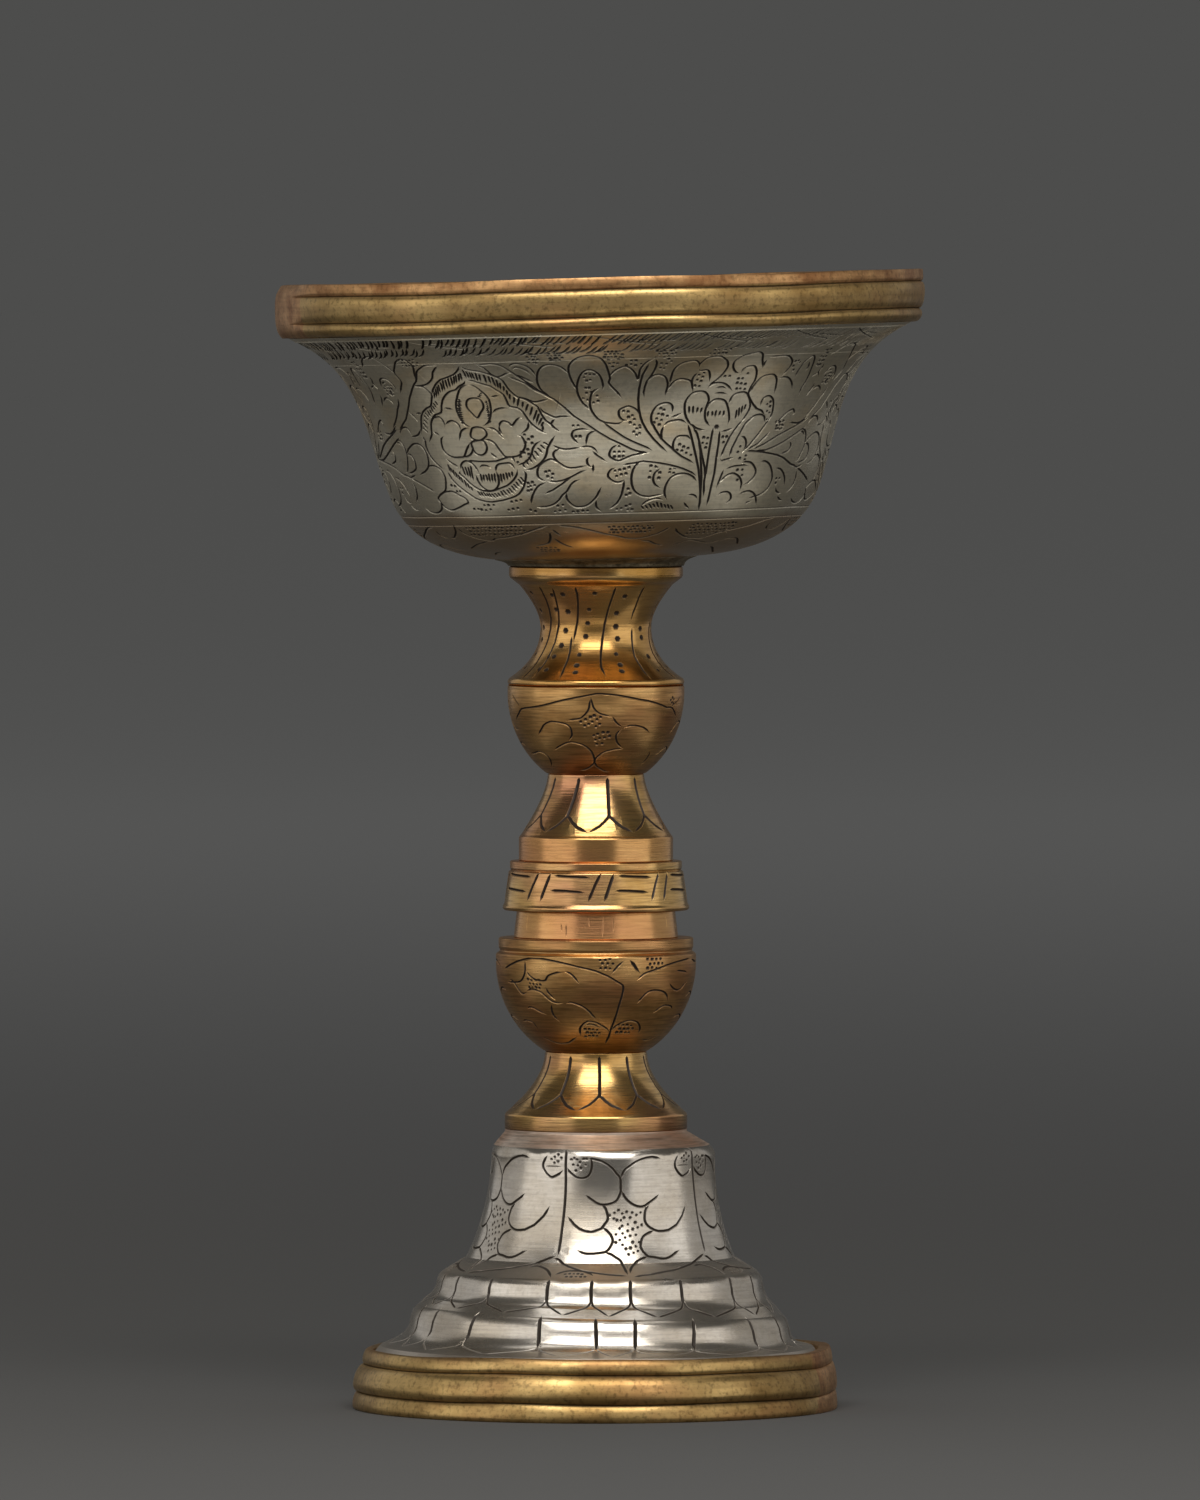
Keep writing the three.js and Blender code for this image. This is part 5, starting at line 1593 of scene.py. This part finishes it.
# %% Leaves right of the bud
draw_lines(bowl_design, """
32.5 36, 31.2 36.2, 30.1 36.9, 29.8 37.7, 30.5 38.3, 31.9 38.9, 33.7 39.2, 35.2 39.3, 36.4 38.8,
  36.9 38, 37.3 37.6, 37.9 36.7
37.9 36.7, 37.9 37.5, 38.2 38.1
32.5 36, 32.8 36.6, 33.7 37, 35.2 37.1, 36.2 36.7, 36.9 35.9, 37 34.9, 36.4 34.1, 36.2 33.2, 37 32.5,
  38.4 31.7, 40.2 31.2
38.4 38.4, 39.8 38.5, 42 38.6, 43.8 38.5, 45.2 38, 46 37.5, 46 36.7, 45.2 35.9, 44.7 35.4
36.4 33.2, 37 34.1, 38.2 35.1, 39.1 35.5, 40.4 35.7, 42 35.7, 43.1 35.3, 43.7 34.7, 44 33.9, 44.1 33
43.8 35.1, 45.2 35.3, 47 35.2, 48.5 34.7, 49.4 34.1, 49.9 33.5
49.2 35.1, 49.4 36.1, 49.9 37.2, 50.8 38, 51.9 38.4, 53 37.9, 53.7 36.8, 54.1 35.5, 53.9 34.5,
  53.2 33.6, 53.1 32.6
51.7 37.6, 52.3 36.8, 52.1 36
57.8 37.3, 58 36.5, 57.5 35.9, 58.6 35.1
55.3 35.3, 56.6 35.6, 57.5 35.7
58 34.5, 57.8 33.8, 56.8 33, 56.4 32.6
40.6 31.4, 40.7 32.1, 41.3 32.6, 42.5 32.8, 43.6 32.6, 44.5 32.1, 44.9 31.2, 44.9 30.4, 44.2 29.4
36.6 29, 37.7 29.6, 39.1 30.2, 40.9 30.4, 42.4 30.2, 42.9 29.6, 42.7 29.1
37.3 32.2, 39.5 31.2, 41.3 30.9, 42.9 30.2
47.2 29.2, 48.5 29.8, 49.9 30.4, 51.4 30.8, 52.6 30.9, 53.2 30.4, 52.4 30.1
52 29.3, 55.3 29.1, 57.8 29.5, 60 30.3
35.9 27.7, 37.1 27.6, 38 27, 38 26.2, 37.1 25.5
37.7 25.8, 39.5 26.7, 41.6 27.9, 43.4 29.1, 44.7 30
38.4 25.9, 42 26.7, 44.2 27.6, 45.6 28.3
40.6 26, 44.2 26.6, 48.5 27.6, 53.5 28.5, 56.4 29, 60 29.8
41.3 25.8, 44.9 25.8, 49.2 26.4, 52.8 27.1, 56.4 27.9, 60 28.7
38.4 25.8, 42 25.7, 46.3 25.4, 49.9 25.1, 52.8 24.7, 56.4 23.9, 60 23.6
53.7 26.9, 54.6 26.4, 54.1 25.7, 52.4 25.4, 50.5 25.2
57.5 27.9, 58.9 28, 60 27.5
32.8 23.6, 35.5 23.9, 38.4 24, 40.2 23.9
37.7 24.1, 38.4 24.4, 40.6 24.3, 42.2 23.7, 42.9 23.1, 42.5 22.4, 40.9 21.7, 39.1 21.4
43.8 24.4, 45.6 24.4, 47.4 24, 48.7 23.3, 49.6 22.4, 49.6 21.7, 48.8 20.8, 47 20.2, 45.2 19.9, 42 19.6
31.6 21.9, 33 22.6, 35 23, 36.6 22.8, 38 22.3, 38.8 21.5, 38.6 20.5
31.4 20.2, 32.6 20.5, 34.4 20.6, 35.7 20.3, 36.2 19.7, 35.5 19.2, 34.4 19.1
38.4 20.2, 40.2 20.5, 42 20.6, 43.8 20.3, 45.2 19.7, 46.1 18.9, 46.5 18.6
50.1 23.5, 52.4 23.3, 54.2 22.7, 55.3 22, 56 21.1
52.1 21.1, 52.8 20.5, 54.2 20.2, 55.7 20.2
54.1 19.8, 55.7 19.3, 57.5 19.1
41.5 18.9, 43.4 19.2, 44.2 19.2
""")

# %% [markdown]
# Ground: what is left between the leaves is punched, so it lies darker and the leaves look raised.

# %% Punched ground
punch(bowl_design, """
-3.4 36.6, -2.5 36.5, -1.6 36.5, -3.8 36.1, -3.3 35.6, -2.5 35.7, -3.6 34.6, -2.8 34.6, -3.5 33.9,
-2.4 34, -1.1 33.5, -4.3 33.2, -3.3 33, -2 32.6, -0.9 32.8, 5 31.4, 6.1 31.3, 6.2 30.6, 7.1 30.8,
7.6 30.3, 6.6 29.9, 7.6 29.6, 8.9 29.5, 23.2 36.3, 22.1 36, 23.1 35.7, 21.9 35.3, 22.9 35.1, 21.6 34.5,
22.7 34.4, 13.9 31.6, 14.7 31.4, 13.4 30.9, 14.4 30.8, 15.6 30.6, 13 30.3, 14.2 30.1, 12.4 29.8,
13.7 29.5, 1.6 38.8, 2.6 38.8, 1.8 38.1, 2.7 38.2, 2.5 37.6, 3.7 38.8, 3.5 38.1, 4.5 39, 6.4 38.5,
7.4 38.5, 5.4 37.8, 6.4 37.9, 7.4 37.7, 8.6 37.9, 13 37.9, 14.1 37.8, 12.9 37.2, 13.7 37.1, 14.4 38.6,
15.1 38.2, -6.6 28.3, -5.6 28.3, -7.1 29.7, -5.9 29.7, -15 23.9, -14 24, -13.2 23.6, -14.6 23.3,
-13.5 23.1, 2.7 26.2, 3.9 26.2, 5 26.2, 2.7 25.6, 3.9 25.6, 4.9 25.6, 3.9 26.9, 19.2 26.9, 20.3 26.6,
21.5 26.4, 18.6 26.2, 19.9 26.1, 21.1 25.8, 22.4 25.5, -20.2 22, -19.5 22.1, -18.4 22.2, -20.4 21.5,
-19.4 21.6, -18.9 22.6, -20.1 22.5, -22.9 20.3, -24.3 20.2, -25.7 20.1, -25.8 19.1, -24.3 19.2,
-27.2 19, -20.7 18.9, -19.4 18.7, -32.8 19.1, -33.1 19.7, -13.8 18.6, -12.4 18.7, -10.9 18.8,
-8.8 18.5, -7.5 18.5, -6.1 18.6, -4.8 18.6, -12.9 19.4, -11.4 19.5, -19.4 28.7, -17.5 28.4, -18.5 28.1,
-17.7 27.6, -19.4 27.7, -21.2 25.9, -20.9 26.5, -20.1 26.4, -18.9 26.2, -19 26.8, -22.1 25.2,
-43.8 22.4, -42.6 22.3, -42.4 21.6, -41.3 21.6, -38.2 19.2, -36.8 19.2, -35.8 19.1, -34.4 19,
-34.4 19.7, -31.4 19.7, 25.5 27.7, 26.6 27.6, 25.3 27, 26.5 26.9, 24.9 25.1, 26.1 24.9, 4 23.9, 5.2 24,
6.4 24.2, 2.8 23.8, 4.4 23.3, 3.2 23.1, 5.6 23.4, 12 24.3, 13.4 24.2, 11.9 23.6, 14.4 23.4, 11.7 22.8,
14.2 22.7, 17 23.4, 18.1 23.3, 18.3 23.9, 17.1 23.8, 6.2 21.4, 6.7 20.8, 5.7 20.6, 5.7 19.1, 6.8 19.3,
4.4 18.8, 3.2 18.7, 6.2 18.6, 7.4 18.6, 8.2 28.3, 8.9 28.5, 7.5 28.7, 8.2 29.1, 9 29.2, 29.8 35.7,
32.3 35.3, 33.4 35.3, 34.4 36, 32.3 34.7, 33.4 34.6, 34.6 34.5, 32.5 33.9, 33.5 33.9, 34.8 33.8,
28.6 35.7, 46.9 37.6, 47.8 37.7, 47 36.9, 47.6 36.3, 48.5 37.4, 43.6 32, 42.7 31.7, 43.8 31.4,
43.1 30.8, 44 30.6, 43.6 29.7, 30.8 27.7, 31.9 27.7, 29.9 27.1, 31.2 27, 29.9 25.3, 26.3 26.4,
36.4 26.4, 35.9 25.7, 38.6 25.2, 36.8 24.9, 38.4 24.7, 36.6 23.4, 38.2 23.4, 38.4 22.7, 37.1 22.1,
51.5 22.1, 52.8 22.1, 51.7 21.5
""")
for low, high, rows, columns in (
        ("-15.2 38.6", "-12.8 40.1", 4, 3),
        ("-10.8 38.9", "-7.8 40.1", 4, 4),
        ("0.6 39.2", "4.8 40.2", 3, 5),
        ("11.5 39", "16.2 40", 3, 5),
        ("23.5 39.3", "28 40", 2, 5),
        ("-47 38.6", "-41.5 39.6", 3, 5),
        ("54.9 37", "57.2 39.4", 5, 3),
        ("47.2 28.5", "50.4 29.4", 3, 4),
        ("-58.2 34.4", "-55 35.6", 4, 4),
):
    stipple(bowl_design, low, high, rows, columns)

# %% [markdown]
# Border: two rows of slanted strokes, the upper ones deeper and longer. The strokes are seeded, so they
# differ as a hand's strokes do, and come out the same on each run.

# %% Border under the rim
for start in range(-60, 60, 20):
    a = start + chance.uniform(-1.5, 1.5)
    cut(bowl_design, [(a - 3, 44.5), (a, 43.3), (a + 5, 42.2), (a + 12, 41.3)], width=0.3, depth=0.12)
    cut(bowl_design, [(a + 3, 42.9), (a + 8, 42.5), (a + 15, 42.1)], width=0.26, depth=0.1)
    for k in range(16):
        foot = a + 0.6 + k * 1.22 + chance.uniform(-0.25, 0.25)
        low = 41.9 + chance.uniform(-0.35, 0.35)
        reach = chance.uniform(2.2, 3.2)
        cut(bowl_design, [(foot, low), (foot + reach * 0.45, low + 0.9), (foot + reach, low + 2.6)],
            width=chance.uniform(0.3, 0.42), depth=0.28, enter=0.3, leave=1.5)
    for k in range(13):
        foot = a + 4 + k * 1.35 + chance.uniform(-0.25, 0.25)
        low = 40.1 + chance.uniform(-0.25, 0.25)
        reach = chance.uniform(2.4, 3.4)
        cut(bowl_design, [(foot, low), (foot + reach * 0.5, low + 0.45), (foot + reach, low + 1.7)],
            width=chance.uniform(0.28, 0.4), depth=0.26, enter=0.3, leave=1.0)
for degrees in range(-60, 60, 10):
    cut(bowl_design, [(degrees - 3, 38.85), (degrees + 3.5, 38.9), (degrees + 10, 38.85)],
        width=0.15, depth=0.04, enter=0.1, leave=0.1)

# %% [markdown]
# A plain band between two level cuts ends the leaves. On the belly under it, long shallow stalks swing from
# leaf to leaf, with stippled ground where they part.

# %% Plain band and belly
for height in (18.15, 16.75):
    for degrees in range(-60, 60, 12):
        sway = chance.uniform(-0.05, 0.05)
        cut(bowl_design, [(degrees - 3, height), (degrees + 4.5, height + sway), (degrees + 12, height)],
            width=0.28, depth=0.1, enter=0.15, leave=0.15)
draw_lines(bowl_design, """
-49.6 17, -49.9 16.5, -51.1 15.6, -53.2 14.9, -55.3 14.4, -57.9 14.3
-49.1 16.5, -48.3 15.6, -46.5 14.8, -43.9 14.2, -41.3 13.8, -38.7 13.7, -37.2 14.1, -33.1 14.3,
  -28.9 14.7, -24.8 15.2, -20.7 15.9, -17 16.4
-13.9 16.4, -10.3 16.2, -6.2 15.7, -2.6 15.1, 0 14.6, 3.1 14.2, 6.2 13.6, 9.8 13.4, 12.9 13.7, 16 14.3,
  18.1 15, 19.9 15.8
21.3 15.5, 22.2 14.7, 23.8 14.1, 25.8 13.5, 28.4 13.1, 31.5 13, 33.1 13, 37.2 14, 41.3 14.6, 45.5 15,
  49.6 15.5, 54.8 16.3, 58.9 16.5
-17 15.3, -17.5 14.2, -18.6 13.2, -19.6 12.7, -22.7 12.3, -24.8 12.1
-16 15.9, -15.2 15.2, -13.7 14.3
-16.5 14, -15.2 12.9, -13.2 11.9, -11.1 11.2
-55.3 11.5, -51.7 12.1, -48 12.7, -44.4 13.1, -40.8 13.6
-50.1 8.9, -46.5 9.8, -42.4 10.2
11.4 12.9, 14.5 12.6, 17 11.8, 20.7 11.2
23.8 11, 26.9 12.1, 30 12.5, 33.1 12.1, 39.3 11.5, 43.9 12.5, 48.6 12.6, 51.2 12.1, 54.8 11, 56.8 10.6
42.4 10.2, 45.5 9.5, 49.1 8.4, 53.2 7.5, 56.8 6.7
58.9 16, 58.7 15, 61 14.2
""")
for low, high, rows, columns in (
        ("-45 15", "-24 16.3", 3, 14),
        ("1 14.9", "15 15.9", 3, 10),
        ("26 14.2", "43 15.9", 4, 11),
        ("-24.5 10.2", "-16.5 11.5", 3, 5),
):
    stipple(bowl_design, low, high, rows, columns)
print("bowl design", len(bowl_design["cuts"]), "cuts", len(bowl_design["dots"]), "punch marks")

# %% [markdown]
# Bowl: raised by hammer from one sheet, so the wall is 1 mm thick and the chased side only shows outside.
# The inside is plain and follows the outside.

# %% Bowl
bowl = chase("raised_bowl", bowl_design, repeats=3, left=-61.0, waver=(0.6, 0.4))
bpy.ops.object.mode_set(mode="EDIT")
inside = [(37.4, 33.8)]
for run in reversed(bowl_skin):
    for point, out in list(zip(run["points"], run["outward"]))[::-2]:
        inside.append(tuple(point - out * SHEET))
inside = [p for p in inside if p[1] < 33.0]
extend(bowl, (38.4, 33.8), inside + [(4.0, 1.0), (0.05, 1.0)], pole=True)
extend(bowl, (8.9, 0.0), [(4.0, 0.0), (0.05, 0.0)], pole=True)
finish_closing(bowl)
settle_normals(bowl, bowl_skin)
lean(bowl)
dress(bowl, white_metal)
stand_for(bowl, "white_metal", "bowl_shell")

# %% [markdown]
# Rim moulding: a brass strip with two beads and a plain band, bent round the lip, soldered on the left and
# folded over the edge. It is made as the foot's is, and its top is worn to a copper brown.

# %% Rim
rim_inner = 38.6
outline = [(rim_inner, 28.3), (rim_inner + 0.4, 28.3)]
for height, crown, groove, fullness in ((1.6, 1.25, 0.75, 1.9), (3.3, 1.62, 1.1, 2.5)):
    bead(outline, rim_inner + groove, height, rim_inner + crown, fullness=fullness)
rim_band = outline[-1][1]
carry(outline, (rim_inner + 1.45, rim_band + 0.05), (rim_inner + 1.5, rim_band + 0.5), 4)
outline.append((rim_inner + 1.45, 34.72))
rim_top = outline[-1][1]
fold_inner = 36.4
fold_outer = 37.2
outline += [(fold_inner, rim_top), (fold_inner, rim_top - 2.1), (fold_outer, rim_top - 2.1),
            (fold_outer, rim_top - 0.8), (rim_inner, rim_top - 0.8)]
# Dirt darkens the two grooves; the wide ring at 31.5 mm is painted shade across the big bead's face.
rim_moulding = tarnish_and_shade(turn("rim_strip", outline),
                       (29.9, 0.35, 0.4), (rim_band, 0.35, 0.4), (31.5, 1.2, 0.2))


def filled_rim(height):
    """The radius of the rounded lump of solder in the rim's joint."""
    return rim_inner + 1.52 * math.sqrt(max(0.05, 1 - abs((height - 31.5) / 3.45) ** 3))


rim_joint = join_ends(rim_moulding, -88, 25, rim_inner + 0.3, filled_rim)
hand_made(rim_moulding, 0.14, 0.26, 9.0)
dress(rim_moulding, moulding_brass)
rim_moulding.data.materials.append(lip_copper)
for face in rim_moulding.data.polygons:
    worn = face.center.z > (rim_band + 0.1) * MM or face.center.xy.length < 38.4 * MM
    if worn or rim_joint(face.center) > 0.35:
        face.material_index = 1
stand_for(lean(rim_moulding), "moulding_brass", "rim_moulding")

# %% [markdown]
# Saddle: solder and brass filings were run between the level collar and the leaning bowl and filed to a
# hollow fillet. It is turned level, then its upper side is laid against the bowl.

# %% Saddle
collar_top = 104.3
outline = [(9.0, collar_top), (10.85, collar_top), (10.95, 104.42)]
carry(outline, (11.05, 105.0), (12.5, 105.25), 10)
outline += [(12.5, 105.3), (9.0, 105.3)]
bowl_saddle = turn("saddle_fillet", outline, worn=0)
under = np.array(bowl_wall)
for vertex in bowl_saddle.data.vertices:
    x, y, z = vertex.co / MM
    bowl_floor = SEAT_HEIGHT + np.interp(math.hypot(x - SEAT_RIGHT, y), under[:, 0], under[:, 1], left=0.0)
    bowl_floor += (x - SEAT_RIGHT) * math.sin(math.radians(BOWL_LEAN)) - 0.02
    vertex.co.z = (collar_top + (z - collar_top) * (bowl_floor - collar_top)) * MM
dress(bowl_saddle, solder_grey)
stand_for(bowl_saddle, "solder", "bowl_saddle")

# %% [markdown]
# The boss, the rod, its nut and its washer are hidden or seen only from below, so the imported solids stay
# and only get their metal.

# %% Hidden metal
for node, material in (("bowl_boss", stem_brass), ("tie_rod", rod_steel),
                       ("rod_nut", rod_steel), ("rod_washer", stem_brass)):
    dress(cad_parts[node], material)

# %% [markdown]
# ## Floor and light

# %% [markdown]
# The object stands on a large level plane. Its grey is painted light: darker near the object, where the
# lamps light it most, and white far off, where little light reaches, so it fades evenly into the grey room
# as a rolled backdrop would.

# %% Floor
bpy.ops.object.select_all(action="DESELECT")
bpy.ops.mesh.primitive_plane_add(size=400.0, location=(0, 0, 0))
floor = bpy.context.object
floor.name = "floor"
floor_graded, tree, shader = fresh_material("floor, painted lighter with distance", 1.0)
shader.inputs["Metallic"].default_value = 0.0
shader.inputs["Specular IOR Level"].default_value = 0.0
place = add(tree, "ShaderNodeTexCoord").outputs["Object"]
# Painted light: the floor grey lightens with distance from the object to even out the lamps' falloff.
away = add(tree, "ShaderNodeVectorMath", {0: place}, operation="LENGTH").outputs["Value"]
far = add(tree, "ShaderNodeMapRange", {"Value": away, "From Min": 0.2, "From Max": 2.5},
          interpolation_type="SMOOTHSTEP").outputs["Result"]
tone = add(tree, "ShaderNodeMix", {0: far, 6: linear("#5c5b59"), 7: linear("#ffffff")},
           data_type="RGBA").outputs[2]
tree.links.new(tone, shader.inputs["Base Color"])
dress(floor, floor_graded)


# %% [markdown]
# The reflections show a large soft box above the camera, a dim skirt under it, two boxes at each side, one
# over the top, and pale table cards that lift the undersides. Each box is given by the brightness of its
# face, which can be read off a reflection, and its power follows from its size.

# %% Lights
def soft_box(name, place, target, size, brightness):
    """A soft box whose face is `brightness` times as bright as white paper in the picture."""
    data = bpy.data.lights.new(name, "AREA")
    data.shape = "RECTANGLE"
    data.size, data.size_y = size
    data.energy = brightness * math.pi * size[0] * size[1]
    box = bpy.data.objects.new(name, data)
    box.location = place
    box.rotation_euler = (Vector(target) - Vector(place)).to_track_quat("-Z", "Y").to_euler()
    bpy.context.scene.collection.objects.link(box)
    print(name, "brightness", brightness)


soft_box("key", (0.0, -0.561, 0.682), (0, 0, 0.07), (0.8, 0.556), 4.0)
soft_box("skirt", (0.0, -0.78, 0.354), (0, 0, 0.07), (0.76, 0.23), 0.55)
for x, y, wide, deep, white in ((-0.2, -0.1, 0.2, 0.24, 0.22), (0.0, -0.25, 0.34, 0.15, 0.5),
                                (0.2, -0.1, 0.2, 0.24, 0.22)):
    soft_box("table card", (x, y, 0.001), (x, y, 1), (wide, deep), white)
soft_box("top", (0.0, 0.05, 0.95), (0, 0, 0), (0.7, 0.5), 1.1)
for side, near, far in ((-1, 0.85, 0.3), (1, 0.75, 0.24)):
    soft_box("front side", (side * 0.424, -0.265, 0.17), (0, 0, 0.07), (0.58, 0.36), near)
    soft_box("far side", (side * 0.441, 0.235, 0.2), (0, 0, 0.07), (0.58, 0.36), far)

# A grey room: what the metal mirrors wherever no box stands.
world = bpy.data.worlds.new("studio")
bpy.context.scene.world = world
world.use_nodes = True
world.node_tree.nodes["Background"].inputs["Color"].default_value = linear("#4d4d4c")
world.node_tree.nodes["Background"].inputs["Strength"].default_value = 1.0
